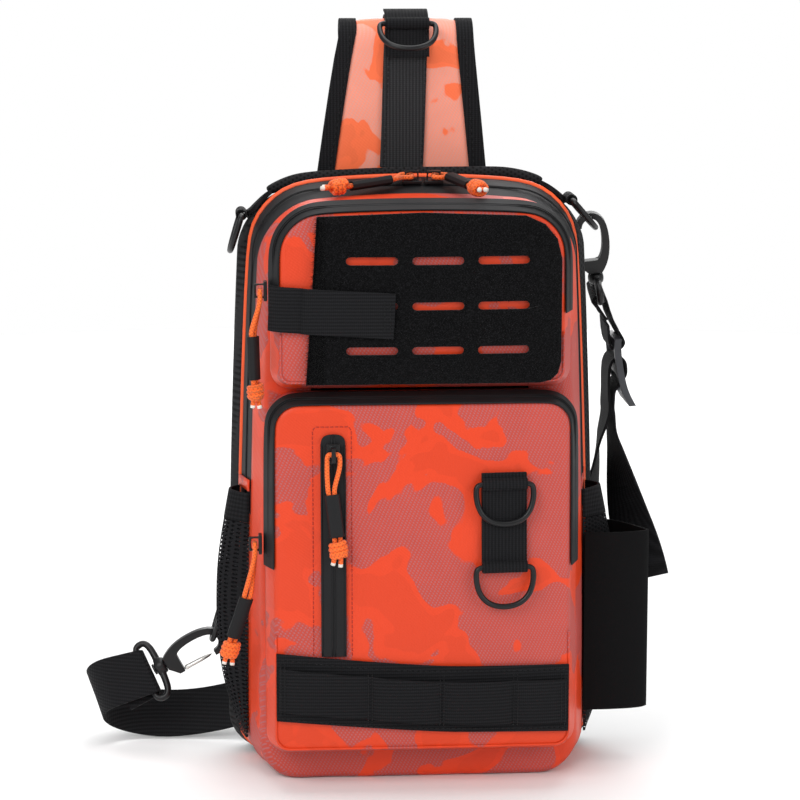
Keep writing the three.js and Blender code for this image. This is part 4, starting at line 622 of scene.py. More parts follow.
def curve_through(points: Sequence[Vector], steps: int) -> list[Vector]:
    """Points of a centripetal curve through the given ones.

    Args:
        points: the points it passes through.
        steps: points made for each of their spans.

    Returns:
        The denser row of points.
    """
    ends = [points[0] * 2 - points[1], *points, points[-1] * 2 - points[-2]]
    made: list[Vector] = []
    for a, b, c, d in zip(ends, ends[1:], ends[2:], ends[3:]):
        t0 = 0.0
        t1 = t0 + max((b - a).length, 1e-7) ** 0.5
        t2 = t1 + max((c - b).length, 1e-7) ** 0.5
        t3 = t2 + max((d - c).length, 1e-7) ** 0.5
        for i in range(steps):
            t = lerp(t1, t2, i / steps)
            ab = a * ((t1 - t) / (t1 - t0)) + b * ((t - t0) / (t1 - t0))
            bc = b * ((t2 - t) / (t2 - t1)) + c * ((t - t1) / (t2 - t1))
            cd = c * ((t3 - t) / (t3 - t2)) + d * ((t - t2) / (t3 - t2))
            abc = ab * ((t2 - t) / (t2 - t0)) + bc * ((t - t0) / (t2 - t0))
            bcd = bc * ((t3 - t) / (t3 - t1)) + cd * ((t - t1) / (t3 - t1))
            made.append(abc * ((t2 - t) / (t2 - t1)) + bcd * ((t - t1) / (t2 - t1)))
    made.append(points[-1].copy())
    return made


# Meshes


def show(name: str, bm: bmesh.types.BMesh, finish: Finish, slot: str, body: str = BAG) -> bpy.types.Object:
    """Makes an object of a mesh, gives it its finish and lets it ride on a body.

    Args:
        name: the piece's name.
        bm: its mesh, which is freed.
        finish: what it is made of.
        slot: the record's material slot; not used.
        body: the CAD body that carries it.

    Returns:
        The object.
    """
    mesh = bpy.data.meshes.new(name)
    bm.to_mesh(mesh)
    bm.free()
    mesh.shade_smooth()
    mesh.materials.append(finish.material())
    piece = bpy.data.objects.new(name, mesh)
    bpy.context.scene.collection.objects.link(piece)
    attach(piece, body)
    return piece


def soften(piece: bpy.types.Object, levels: int) -> None:
    """Adds a subdivision surface."""
    surface = piece.modifiers.new("soften", "SUBSURF")
    surface.levels = surface.render_levels = levels


def thicken(piece: bpy.types.Object, wall: float) -> None:
    """Gives a skin its wall, grown inwards, in millimetres."""
    solid = piece.modifiers.new("wall", "SOLIDIFY")
    solid.thickness = wall * MM
    solid.offset = -1.0


def copied(node: str) -> bmesh.types.BMesh:
    """A merged copy of a CAD node's mesh, with its pairs of triangles joined."""
    bm = bmesh.new()
    bm.from_mesh(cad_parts[node].data)
    bmesh.ops.remove_doubles(bm, verts=bm.verts, dist=1e-6)
    bmesh.ops.join_triangles(
        bm, faces=bm.faces, angle_face_threshold=math.radians(25), angle_shape_threshold=math.radians(50)
    )
    return bm


def eased(bm: bmesh.types.BMesh, width: float, segments: int = 2, angle: float = 40.0) -> None:
    """Bevels a mesh's sharp edges.

    Args:
        bm: the mesh.
        width: width of the bevel in millimetres.
        segments: its steps.
        angle: the least turn of an edge that counts as sharp, in degrees.
    """
    limit = math.radians(angle)
    sharp = [edge for edge in bm.edges if edge.is_manifold and edge.calc_face_angle() > limit]
    bmesh.ops.bevel(
        bm, geom=sharp, offset=width * MM, offset_type="OFFSET", segments=segments, profile=0.5,
        affect="EDGES", material=-1, clamp_overlap=True, loop_slide=True,
    )


@dataclass(frozen=True)
class Recipe:
    """How a CAD node is copied into a finer piece.

    Attributes:
        node: the node it stands for.
        finish: what it is made of.
        slot: the record's slot.
        edge: bevel of its sharp edges in millimetres, 0 for none.
        levels: levels of its subdivision surface.
        body: the body that carries it.
        swell: how far its skin moves out first, in millimetres.
    """

    node: str
    finish: Finish
    slot: str
    edge: float = 0.35
    levels: int = 1
    body: str = BAG
    swell: float = 0.0

    def make(self, suffix: str = "piece") -> bpy.types.Object:
        """Builds the piece and hides the node that it replaces."""
        bm = copied(self.node)
        if self.swell:
            bm.normal_update()
            for vert in bm.verts:
                vert.co += vert.normal * self.swell * MM
        if self.edge:
            eased(bm, self.edge)
        piece = show(f"{self.node}_{suffix}", bm, self.finish, self.slot, self.body)
        if self.levels:
            soften(piece, self.levels)
        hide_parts(self.node)
        LOG.info("made %s", piece.name)
        return piece


@dataclass
class Ring:
    """One ring of a panel's grid: its outline, inset, depth and size about the panel's middle."""

    outline: Outline
    inset: float
    y: float
    scale: float = 1.0


def panel_skin(
    cells: int,
    ring_at: Callable[[float], Ring],
    middle_z: float,
    depth: Callable[[float, float, float, float], float],
    back: bool = False,
) -> bmesh.types.BMesh:
    """A grid drawn over a panel, ring by ring from its middle to its rim.

    Args:
        cells: cells along each side, an even number.
        ring_at: the ring at a share from the middle, 0, to the rim, 1.
        middle_z: height of the panel's middle.
        depth: depth at x, z, the ring's own depth and its share.
        back: True for a panel that faces the back.

    Returns:
        The mesh of the skin.
    """
    bm = bmesh.new()
    bmesh.ops.create_grid(bm, x_segments=cells, y_segments=cells, size=1.0)
    rings: dict[int, tuple[Ring, dict[str, list[Vector]]]] = {}
    for vert in bm.verts:
        a, b = vert.co.x, vert.co.y
        share = max(abs(a), abs(b))
        key = round(share * cells / 2 * 2)
        if key not in rings:
            ring = ring_at(share)
            runs = ring.outline.sides(ring.inset).items()
            rings[key] = (ring, {run: even_line(points, 4 * cells + 1) for run, points in runs})
        ring, sides = rings[key]
        if share < 1e-6:
            x, z = 0.0, middle_z
        else:
            upright = abs(a) >= abs(b)
            name = ("right" if a > 0 else "left") if upright else ("top" if b > 0 else "low")
            run = clamp(((b if upright else a) / share + 1) / 2)
            point = sides[name][round(run * 4 * cells)]
            x, z = point.x * ring.scale, middle_z + (point.y - middle_z) * ring.scale
        vert.co = mm(x, depth(x, z, ring.y, share), z)
    if back:
        bmesh.ops.reverse_faces(bm, faces=bm.faces)
    return bm


class Looker:
    """Finds where a straight look meets the outermost of some pieces."""

    def __init__(self, pieces: Sequence[bpy.types.Object], direction: Triple) -> None:
        bpy.context.view_layer.update()
        depsgraph = bpy.context.evaluated_depsgraph_get()
        self.trees = [BVHTree.FromObject(piece, depsgraph) for piece in pieces]
        self.direction = Vector(direction).normalized()

    def at(self, point: Vector) -> tuple[Vector, Vector] | None:
        """The place and the normal where the look through a point lands, or None."""
        start = point - self.direction * 1.0
        best: tuple[float, Vector, Vector] | None = None
        for tree in self.trees:
            place, normal, _, distance = tree.ray_cast(start, self.direction)
            if place is not None and (best is None or distance < best[0]):
                best = (distance, place, normal)
        if best is None:
            return None
        normal = best[2] if best[2].dot(self.direction) < 0 else -best[2]
        return best[1], normal

    def trace(self, points: Sequence[Vector], spacing: float) -> list[tuple[Vector, Vector]]:
        """Even places along a polyline, seen on the surface.

        Args:
            points: the polyline, in metres.
            spacing: distance between places in millimetres.

        Returns:
            Places and normals, those that miss left out.
        """
        total = sum((b - a).length for a, b in zip(points, points[1:]))
        count = max(int(total / (spacing * MM)), 2)
        found = (self.at(point) for point in even_line(points, count))
        return [hit for hit in found if hit]


class Needle:
    """Sews rows of stitches, and keeps them in one mesh for each thread."""

    def __init__(self, name: str, thread: Finish, slot: str, width: float = 0.7) -> None:
        self.name, self.thread, self.slot, self.width = name, thread, slot, width
        self.bm = bmesh.new()

    def row(self, hits: Sequence[tuple[Vector, Vector]], share: float = 0.66) -> None:
        """Sews one stitch over a share of each gap between neighbouring places."""
        for (here, up), (there, _) in zip(hits, hits[1:]):
            run = there - here
            if not 0.0004 < run.length < 0.008:
                continue
            self.bar(here.lerp(there, 0.5), run.normalized(), up, run.length * share, self.width)

    def bar(self, centre: Vector, run: Vector, up: Vector, length: float, width: float) -> None:
        """Lays one thread of a length in metres and a width in millimetres on a surface."""
        side = up.cross(run).normalized()
        top = run.cross(side).normalized()
        turn = Matrix((side, top, run)).transposed().to_4x4()
        lift = top * width * MM * 0.12
        bmesh.ops.create_cone(
            self.bm, cap_ends=True, segments=6, radius1=width * MM / 2, radius2=width * MM / 2, depth=length,
            matrix=Matrix.Translation(centre + lift) @ turn,
        )

    def done(self, body: str = BAG) -> bpy.types.Object:
        """Shows the threads as one piece."""
        return show(self.name, self.bm, self.thread, self.slot, body)


def tube(bm: bmesh.types.BMesh, path: Sequence[Vector], radius: float, sides: int = 10) -> None:
    """Extrudes a closed-ended round tube along a path, with a UV map of turns and metres.

    Args:
        bm: the mesh that gains the tube.
        path: its centreline in metres.
        radius: its radius in millimetres.
        sides: sides of its section.
    """
    uv = bm.loops.layers.uv.verify()
    tangent = (path[1] - path[0]).normalized()
    side = tangent.orthogonal().normalized()
    spot: dict[bmesh.types.BMVert, Pair] = {}
    edges: list[bmesh.types.BMEdge] = []
    faces: list[bmesh.types.BMFace] = []
    run = 0.0
    for i, point in enumerate(path):
        ahead = path[min(i + 1, len(path) - 1)] - path[max(i - 1, 0)]
        tangent = ahead.normalized() if ahead.length > 0 else tangent
        side = (side - tangent * side.dot(tangent)).normalized()
        up = tangent.cross(side)
        run += (point - path[i - 1]).length if i else 0.0
        if i == 0:
            made = bmesh.ops.create_circle(bm, cap_ends=True, radius=radius * MM, segments=sides)
            ring = made["verts"]
            faces += list(ring[0].link_faces)
            order = {vert: k for k, vert in enumerate(ring)}
            edges = list(dict.fromkeys(edge for vert in ring for edge in vert.link_edges))
        else:
            grown = bmesh.ops.extrude_edge_only(bm, edges=edges)["geom"]
            fresh = [item for item in grown if isinstance(item, bmesh.types.BMVert)]
            edges = [
                item for item in grown
                if isinstance(item, bmesh.types.BMEdge) and all(v in set(fresh) for v in item.verts)
            ]
            faces += [item for item in grown if isinstance(item, bmesh.types.BMFace)]
            order = {
                vert: next(order[e.other_vert(vert)] for e in vert.link_edges if e.other_vert(vert) in order)
                for vert in fresh
            }
        for vert, k in order.items():
            turn = math.tau * k / sides
            vert.co = point + (side * math.cos(turn) + up * math.sin(turn)) * radius * MM
            spot[vert] = (k / sides, run)
    faces += bmesh.ops.contextual_create(bm, geom=edges)["faces"]
    for face in faces:
        for loop in face.loops:
            loop[uv].uv = spot[loop.vert]
    bmesh.ops.recalc_face_normals(bm, faces=faces)


def strip_between(
    columns: int, rows: int, at: Callable[[float, float], Vector], wall: float
) -> bmesh.types.BMesh:
    """A thin plate drawn over a surface.

    Args:
        columns: cells along its width.
        rows: cells along its height.
        at: the point of its back at two shares.
        wall: its thickness in millimetres, grown along its normals.

    Returns:
        The plate's closed mesh.
    """
    bm = bmesh.new()
    bmesh.ops.create_grid(bm, x_segments=columns, y_segments=rows, size=1.0)
    for vert in bm.verts:
        vert.co = at((vert.co.x + 1) / 2, (vert.co.y + 1) / 2)
    bm.normal_update()
    bmesh.ops.solidify(bm, geom=bm.faces, thickness=wall * MM)
    bmesh.ops.recalc_face_normals(bm, faces=bm.faces)
    return bm


# The studio


@dataclass
class Studio:
    """Floor, lights and camera.

    Attributes:
        target: what the camera looks at.
        azimuth: its turn in degrees, towards +X.
        elevation: its height in degrees.
        distance: its distance from the target in metres.
        lens: its focal length on a 36 mm sensor.
        surround: strength of the white surrounding as a light.
    """

    target: Triple = (-0.0087, 0.0, 0.213)
    azimuth: float = -4.0
    elevation: float = 10.0
    distance: float = 1.6
    lens: float = 126.0
    surround: float = 0.48

    def camera(self) -> None:
        """Adds the camera at the photograph's angle."""
        data = bpy.data.cameras.new("camera")
        data.lens = self.lens
        data.sensor_width = 36.0
        data.clip_start = 0.05
        camera = bpy.data.objects.new("camera", data)
        turn, rise = math.radians(self.azimuth), math.radians(self.elevation)
        away = Vector((math.sin(turn) * math.cos(rise), -math.cos(turn) * math.cos(rise), math.sin(rise)))
        camera.location = Vector(self.target) + away * self.distance
        camera.rotation_euler = (-away).to_track_quat("-Z", "Y").to_euler()
        bpy.context.scene.collection.objects.link(camera)
        bpy.context.scene.camera = camera

    def floor(self) -> None:
        """Adds the pale floor."""
        bm = bmesh.new()
        bmesh.ops.create_circle(bm, cap_ends=True, segments=96, radius=1.7)
        mesh = bpy.data.meshes.new("floor")
        bm.to_mesh(mesh)
        bm.free()
        mesh.materials.append(FLOOR.material())
        floor = bpy.data.objects.new("floor", mesh)
        bpy.context.scene.collection.objects.link(floor)

    def lights(self) -> None:
        """Adds large soft lights and an even white surrounding."""
        world = bpy.data.worlds.new("studio")
        world.use_nodes = True
        bench = NodeBench(world.node_tree)
        seen = bench.add("ShaderNodeLightPath").outputs["Is Camera Ray"]
        sky = world.node_tree.nodes["Background"]
        sky.inputs["Color"].default_value = (1.0, 1.0, 1.0, 1.0)
        strength = bench.math("MULTIPLY_ADD", seen, 1.0 - self.surround, self.surround)
        bench.put(sky.inputs["Strength"], strength)
        bpy.context.scene.world = world
        rows = (
            ("key", (-1.1, -1.7, 1.5), 1.4, 29.0),
            ("fill", (1.5, -1.4, 0.8), 1.2, 11.0),
            ("top", (0.0, 0.3, 1.9), 1.5, 20.0),
            ("rear", (0.3, 1.8, 1.0), 1.4, 16.0),
        )
        for name, place, size, power in rows:
            data = bpy.data.lights.new(name, "AREA")
            data.shape = "SQUARE"
            data.size = size
            data.energy = power
            light = bpy.data.objects.new(name, data)
            light.location = place
            aim = Vector((0.0, 0.0, 0.2)) - Vector(place)
            light.rotation_euler = aim.to_track_quat("-Z", "Y").to_euler()
            bpy.context.scene.collection.objects.link(light)


# Zip pulls


@dataclass(frozen=True)
class PullRoute:
    """The route of one pull's cord, as in the part's source, and where its knot sits.

    Attributes:
        name: which zip it pulls.
        points: the cord's points in millimetres.
        knot: the middle of its knot.
        lie: the direction of its sleeve.
        across: the direction across its two strands.
    """

    name: str
    points: tuple[Triple, ...]
    knot: Triple
    lie: Triple
    across: Triple


PULL_ROUTES = (
    PullRoute(
        "top_left",
        (
            (-54, -20, 336.4), (-44.43, -15.12, 336.59), (-38.43, -12.74, 336.53),
            (-26.22, -8.5, 337.91), (-15.89, -4.9, 339.07), (-12.67, -3.55, 339.38),
            (-7.5, 5.9, 341.43), (-2.2, 5.21, 341.34), (-2, 2.43, 340.94), (-2.2, -0.34, 340.55),
            (-7.5, -1.03, 340.45), (-11.64, -6.82, 340.35), (-14.99, -7.75, 339.91),
            (-25.32, -11.34, 338.75), (-37.53, -15.59, 337.37), (-43.57, -17.88, 337.41),
            (-53, -14.5, 336.6),
        ),
        (-44, -16.5, 337), (-0.939, -0.327, -0.106), (0.289, -0.918, 0.272),
    ),
    PullRoute(
        "top_right",
        (
            (36.4, -41, 337), (30.62, -32.99, 337.42), (27.98, -26.95, 338.11),
            (22.88, -15.08, 339.52), (18.57, -5.03, 340.71), (16.98, -1.92, 341.1),
            (16, -1.03, 340.37), (10.7, -0.34, 340.46), (10.5, 2.43, 340.86), (10.7, 5.21, 341.25),
            (16, 5.9, 341.35), (20.26, -0.51, 341.05), (21.42, -3.8, 340.67), (25.73, -13.85, 339.48),
            (30.83, -25.72, 338.07), (33.38, -31.81, 337.38), (32, -42.5, 337.2),
        ),
        (32, -32.4, 337.4), (0.392, -0.914, -0.108), (0.918, 0.396, -0.014),
    ),
    PullRoute(
        "left_upper",
        (
            (-93.6, -50, 218.5), (-92.76, -50.7, 227.54), (-93.16, -50.38, 233.07),
            (-93.48, -49.84, 246.05), (-93.76, -49.38, 257.04), (-93.96, -49.44, 260.54),
            (-89.15, -49.5, 277.5), (-89.15, -48.8, 282.8), (-89.15, -46, 283),
            (-89.15, -43.2, 282.8), (-89.15, -42.5, 277.5), (-92.17, -46.36, 260.46),
            (-92.19, -46.7, 256.96), (-91.92, -47.16, 245.98), (-91.6, -47.7, 232.99),
            (-91.24, -48.1, 227.46), (-89.6, -50, 218),
        ),
        (-92, -49.4, 227.5), (0.025, -0.042, -0.999), (0.503, 0.864, -0.023),
    ),
    PullRoute(
        "left_lower",
        (
            (-111, -48, 72.5), (-108.54, -48.12, 81.42), (-107.28, -48.5, 87.24),
            (-103.18, -49.04, 99.56), (-99.7, -49.5, 109.99), (-98.8, -49.72, 113.37),
            (-93.15, -50.5, 135.5), (-93.15, -49.8, 140.8), (-93.15, -47, 141),
            (-93.15, -44.2, 140.8), (-93.15, -43.5, 135.5), (-95.62, -48.48, 112.37),
            (-96.93, -48.42, 109.11), (-100.41, -47.96, 98.69), (-104.51, -47.42, 86.37),
            (-105.86, -47.08, 80.58), (-106.4, -47, 71.5),
        ),
        (-107.2, -47.6, 81), (-0.316, 0.042, -0.948), (0.894, 0.348, -0.283),
    ),
    PullRoute(
        "centre",
        (
            (-50.6, -70.03, 133.5), (-49.09, -70.99, 142.42), (-49.62, -69.51, 148),
            (-51.14, -69.12, 160.91), (-52.42, -68.8, 171.83), (-53.06, -68.69, 175.27),
            (-53.5, -68.57, 189.5), (-52.8, -68.57, 194.8), (-50, -68.57, 195),
            (-47.2, -68.57, 194.8), (-46.5, -68.57, 189.5), (-49.52, -68.69, 175.69),
            (-49.34, -68.8, 172.19), (-48.06, -69.12, 161.27), (-46.54, -69.51, 148.36),
            (-46.11, -70.99, 142.78), (-46.4, -70.44, 132.5),
        ),
        (-47.6, -70.99, 142.6), (0.117, -0.03, -0.993), (0.993, 0.001, 0.117),
    ),
)


@dataclass
class ZipPulls:
    """The five zip pulls: each a slider, a loop of cord, a rubber sleeve and a knot.

    Attributes:
        cord_radius: radius of the cord in millimetres.
        coil_radius: radius of the knot's turns.
        coil_turns: turns of the knot.
        coil_length: length of the knot.
        cut_reach: how far from its cut ends the cord is pale.
    """

    cord_radius: float = 1.35
    coil_radius: float = 3.6
    coil_turns: float = 3.1
    coil_length: float = 7.2
    cut_reach: float = 1.75

    def build(self) -> None:
        """Builds every pull."""
        for route in PULL_ROUTES:
            self.pull(route)

    def knot(self, route: PullRoute) -> bpy.types.Object:
        """Winds the knot's turns round the two strands, with one turn laid aslant over them."""
        lie, across = Vector(route.lie).normalized(), Vector(route.across).normalized()
        deep = lie.cross(across).normalized()
        middle = mm(*route.knot)
        bm = bmesh.new()
        path = []
        for i in range(64):
            share = i / 63
            turn = math.tau * self.coil_turns * share
            out = self.coil_radius * (1 + 0.14 * math.sin(math.pi * share))
            path.append(
                middle
                + (across * math.cos(turn) + deep * math.sin(turn) * 0.85) * out * MM
                + lie * (share - 0.5) * self.coil_length * MM
            )
        tube(bm, path, self.cord_radius * 1.05)
        slant = [
            middle + (across * math.cos(t) * 1.12 + deep * math.sin(t) * 0.8) * self.coil_radius * MM
            + lie * math.sin(t * 0.5 + 0.4) * self.coil_length * 0.52 * MM
            for t in (0.35 * k for k in range(15))
        ]
        tube(bm, slant, self.cord_radius)
        return show(f"knot_{route.name}", bm, CORD_ORANGE, "bright_orange")

    def pull(self, route: PullRoute) -> None:
        """Builds one pull and logs its cord's length."""
        knot = self.knot(route)
        path = curve_through([mm(*point) for point in route.points], 6)
        bm = bmesh.new()
        tube(bm, path, self.cord_radius)
        cord = show(f"cord_{route.name}_braid", bm, CORD_ORANGE, "bright_orange")
        cord.data.materials.append(CUT_TIP.material())
        ends = (path[0], path[-1])
        for face in cord.data.polygons:
            face.material_index = int(min((face.center - end).length for end in ends) < self.cut_reach * MM)
        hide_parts(f"cord_{route.name}")
        sleeve = Recipe(f"sleeve_{route.name}", ZIP_TAPE, "zip_black", edge=0.6, levels=1).make("rubber")
        slider = Recipe(f"slider_{route.name}", PLASTIC, "hardware_black", edge=0.35, levels=1).make("metal")
        length = sum((b - a).length for a, b in zip(path, path[1:]))
        LOG.info("pull %s: cord %.0f mm, slider %s", route.name, length / MM, slider.name)


# The body


BODY_WIDTH = 216.0
BODY_HEIGHT = 333.0
MIDDLE_Z = 165.0
BODY_ROWS = (
    (40.0, 0.975, 0.89, 0.975),
    (30.0, 1.0, 0.917, 0.985),
    (18.0, 0.949, 0.857, 1.0),
    (-12.0, 0.894, 0.819, 0.978),
    (-30.0, 0.843, 0.764, 0.973),
    (-36.0, 0.82, 0.745, 0.966),
)


def body_outline(y: float) -> Outline:
    """The body's outline at a depth."""
    first, second = BODY_ROWS[-2:]
    for a, b in zip(BODY_ROWS, BODY_ROWS[1:]):
        if y >= b[0]:
            first, second = a, b
            break
    share = clamp((first[0] - y) / (first[0] - second[0]))
    wide, narrow, high = (lerp(first[k], second[k], share) for k in (1, 2, 3))
    return Outline(BODY_WIDTH * wide, BODY_WIDTH * narrow, 0.0, BODY_HEIGHT * high, 22.0, 33.0, 7.0)


def ripple(x: float, y: float, z: float, size: float) -> float:
    """Slow uneven swells of cloth, from about -1 to 1, with waves of a size in millimetres."""
    return noise.noise(Vector((x / size + 3.1, y / size, z / size)))


@dataclass
class Body:
    """The bag's shell: coated front, zip gusset, base, rear piping and padded back.

    Attributes:
        cells: cells along each side of its panels.
        seam_y: depth of the front zip seam.
        shoulder_y: depth where the front's side turns into its face.
        face_y: depth of the front face.
        wall: thickness of the coated cloth.
        channel: depth of the grooves quilted in the back.
        mouth: half the size of the open middle of the front, which the pockets cover.
    """

    cells: int = 96
    seam_y: float = -12.2
    shoulder_y: float = -30.0
    face_y: float = -36.0
    wall: float = 2.0
    channel: float = 2.6
    mouth: Pair = (60.0, 110.0)
    pieces: dict[str, bpy.types.Object] = field(default_factory=dict)

    def build(self) -> None:
        """Builds the shell's pieces."""
        self.pieces["front"] = self.front()
        self.pieces["back"] = self.back()
        self.pieces["zip"] = Recipe("zip_gusset", ZIP_TAPE, "zip_black", edge=0.3, levels=1).make("tape")
        self.pieces["base"] = Recipe("base_gusset", COATED, "coated_orange", edge=0.3, levels=1).make("cloth")
        self.pieces["piping"] = Recipe(
            "rear_piping", PIPING, "bright_orange", edge=0.0, levels=1, swell=0.15
        ).make("cord")

    def front(self) -> bpy.types.Object:
        """The coated front: its face, rounded shoulder and sides, in one skin with a wall."""

        def ring_at(share: float) -> Ring:
            if share < 0.7:
                return Ring(body_outline(self.face_y), 5.0, self.face_y, max(share / 0.7, 1e-3))
            if share < 0.86:
                turn = math.pi / 2 * (share - 0.7) / 0.16
                y = lerp(self.shoulder_y, self.face_y, math.cos(turn))
                return Ring(body_outline(y), 5.0 * (1 - math.sin(turn)), y)
            y = lerp(self.shoulder_y, self.seam_y, (share - 0.86) / 0.14)
            return Ring(body_outline(y), 0.0, y)

        def depth(x: float, z: float, y: float, share: float) -> float:
            soft = smooth(share, 0.62, 0.8) * (1 - smooth(share, 0.93, 1.0))
            return y + 0.9 * soft * ripple(x, y, z, 24)

        bm = panel_skin(self.cells, ring_at, MIDDLE_Z, depth)
        for vert in bm.verts:
            x, y, z = (part / MM for part in vert.co)
            side = smooth(y, self.face_y, self.shoulder_y) * (1 - smooth(y, self.seam_y - 4, self.seam_y))
            away = Vector((x / BODY_WIDTH, 0, (z - MIDDLE_Z) / BODY_HEIGHT)).normalized()
            vert.co += away * 0.7 * MM * side * ripple(x + 40, y, z, 19)
        middles = {face: face.calc_center_median() / MM for face in bm.faces}
        half_x, half_z = self.mouth
        inner = [
            face for face, middle in middles.items()
            if abs(middle.x) < half_x and abs(middle.z - MIDDLE_Z) < half_z
        ]
        bmesh.ops.delete(bm, geom=inner, context="FACES")
        piece = show("front_cloth", bm, COATED, "coated_orange")
        thicken(piece, self.wall)
        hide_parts("front_shell")
        return piece

    def back(self) -> bpy.types.Object:
        """The padded back, crowned between its quilted channels."""

        def ring_at(share: float) -> Ring:
            if share < 0.8:
                return Ring(body_outline(40.0), 5.0, 40.0, max(share / 0.8, 1e-3))
            if share < 0.9:
                turn = math.pi / 2 * (share - 0.8) / 0.1
                y = lerp(30.0, 40.0, math.cos(turn))
                return Ring(body_outline(y), 5.0 * (1 - math.sin(turn)), y)
            y = lerp(30.0, 20.3, (share - 0.9) / 0.1)
            return Ring(body_outline(y), 0.0, y)

        def groove(distance: float) -> float:
            return math.exp(-((distance / 4.5) ** 2))

        def depth(x: float, z: float, y: float, share: float) -> float:
            if share > 0.86:
                return y
            deepest = max(groove(abs(x) - 24), groove(z - 112), groove(z - 226))
            lines = deepest * (1 - smooth(share, 0.7, 0.82))
            return y - self.channel * lines - 0.5 * (1 + ripple(x, y, z, 30))

        bm = panel_skin(self.cells, ring_at, MIDDLE_Z, depth, back=True)
        rim = [edge for edge in bm.edges if edge.is_boundary]
        bmesh.ops.holes_fill(bm, edges=rim, sides=0)
        bmesh.ops.triangulate(bm, faces=[face for face in bm.faces if len(face.verts) > 4])
        bmesh.ops.recalc_face_normals(bm, faces=bm.faces)
        piece = show("back_pad", bm, BACK_MESH, "mesh_black")
        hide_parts("back_panel")
        return piece

    def trim(self) -> None:
        """Lays the two lips of the main zip."""
        lips = bmesh.new()
        for y, radius in ((1.2, 0.32), (2.7, 0.32)):
            points = [(x, z) for x, z in body_outline(y).loop(-0.2) if z > 151]
            tube(lips, curve_through([mm(x, y, z) for x, z in points], 2), radius, 6)
        show("main_zip_lips", lips, ZIP_LIP, "zip_black")


# Pockets


UPPER = Outline(167.0, 166.0, 227.5, 329.0, 11.0, 26.0, 3.0)
LOWER = Outline(175.0, 173.0, 20.0, 225.5, 13.0, 18.0, 0.0)
FRONT_Y = -36.0
CHAMFER = 5.0


@dataclass
class Pocket:
    """One bellows pocket on the front, with a domed face.

    Attributes:
        name: upper or lower.
        outline: its front outline.
        edge_y: depth of its face's edge.
        bulge: how far its face stands out at the peak.
        peak: height of the peak, as a share of half its height.
        cells: cells along each side.
        puckers: depth of the puckers along its seam.
        wall: thickness of its cloth.
        strip: depth of the chamfered strip round its face.
    """

    name: str
    outline: Outline
    edge_y: float
    bulge: float
    peak: float
    cells: int = 112
    puckers: float = 0.45
    wall: float = 1.8
    strip: float = 12.0

    def face(self, x: float, z: float) -> float:
        """Depth of the domed face at x, z."""
        u = x / self.outline.half_width(z)
        half = (self.outline.top - self.outline.low) / 2
        middle = self.outline.low + half * self.peak
        reach = self.outline.top - middle if z > middle else middle - self.outline.low
        v = (z - middle) / reach
        return self.edge_y - self.bulge * max(0.0, 1 - u * u) * max(0.0, 1 - v * v)

    def build(self) -> bpy.types.Object:
        """Builds the pocket's skin with its wall."""
        middle = (self.outline.low + self.outline.top) / 2

        def ring_at(share: float) -> Ring:
            if share < 0.76:
                return Ring(self.outline, CHAMFER, self.edge_y, max(share / 0.76, 1e-3))
            if share < 0.9:
                turn = (share - 0.76) / 0.14
                y = lerp(self.edge_y, self.edge_y + self.strip, turn)
                return Ring(self.outline, CHAMFER * (1 - turn), y)
            y = lerp(self.edge_y + self.strip, FRONT_Y - 0.4, (share - 0.9) / 0.1)
            return Ring(self.outline, 0.0, y)

        def depth(x: float, z: float, y: float, share: float) -> float:
            if share > 0.76:
                return y
            inner = 1 - smooth(share, 0.55, 0.76)
            seam = smooth(share, 0.5, 0.7) * (1 - smooth(share, 0.72, 0.76))
            run = math.atan2(z - middle, x) * 14
            wave = math.sin(run + 2.4 * ripple(x, 0, z, 30))
            return self.face(x, z) + 0.35 * inner * ripple(x, 3, z, 42) + self.puckers * seam * wave * 0.5

        skin = panel_skin(self.cells, ring_at, middle, depth)
        piece = show(f"{self.name}_pocket_cloth", skin, COATED, "coated_orange")
        thicken(piece, self.wall)
        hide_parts(f"{self.name}_pocket")
        LOG.info("pocket %s", self.name)
        return piece

    def zip_tape(self, low: float) -> bpy.types.Object:
        """Dresses the zip strip round the top, with its lips, down to a height."""
        tape = Recipe(f"{self.name}_pocket_zip", ZIP_TAPE, "zip_black", edge=0.3, levels=2).make("tape")
        lips = bmesh.new()
        for y in (4.4, 5.9):
            inset = CHAMFER * (1 - y / self.strip) - 1.35
            points = [(x, z) for x, z in self.outline.loop(inset) if z > low]
            tube(lips, curve_through([mm(x, self.edge_y + y, z) for x, z in points], 2), 0.3, 6)
        show(f"{self.name}_zip_lips", lips, ZIP_LIP, "zip_black")
        return tape

    def seams(self) -> None:
        """Lays the turned edge of the cloth along the foot of the face, where no zip covers it."""
        welt = bmesh.new()
        loop = self.outline.loop(CHAMFER + 0.3)[:-1]
        low = self.outline.low + 0.35 * (self.outline.top - self.outline.low)
        count = len(loop)
        start = next(i for i in range(count // 2, count) if loop[i][0] < 0 and loop[i][1] < low)
        foot = [loop[(start + i) % count] for i in range(count) if loop[(start + i) % count][1] < low]
        tube(welt, [mm(x, self.face(x, z) - 0.1, z) for x, z in foot], 0.75, 8)
        show(f"{self.name}_face_welt", welt, COATED, "coated_orange")


# Trim on the front


FIBRES = 9000
FIBRE_SEED = 7
EDGE_FIELD = 10.0
SPREAD_X = 0.754877666
SPREAD_Z = 0.569840291


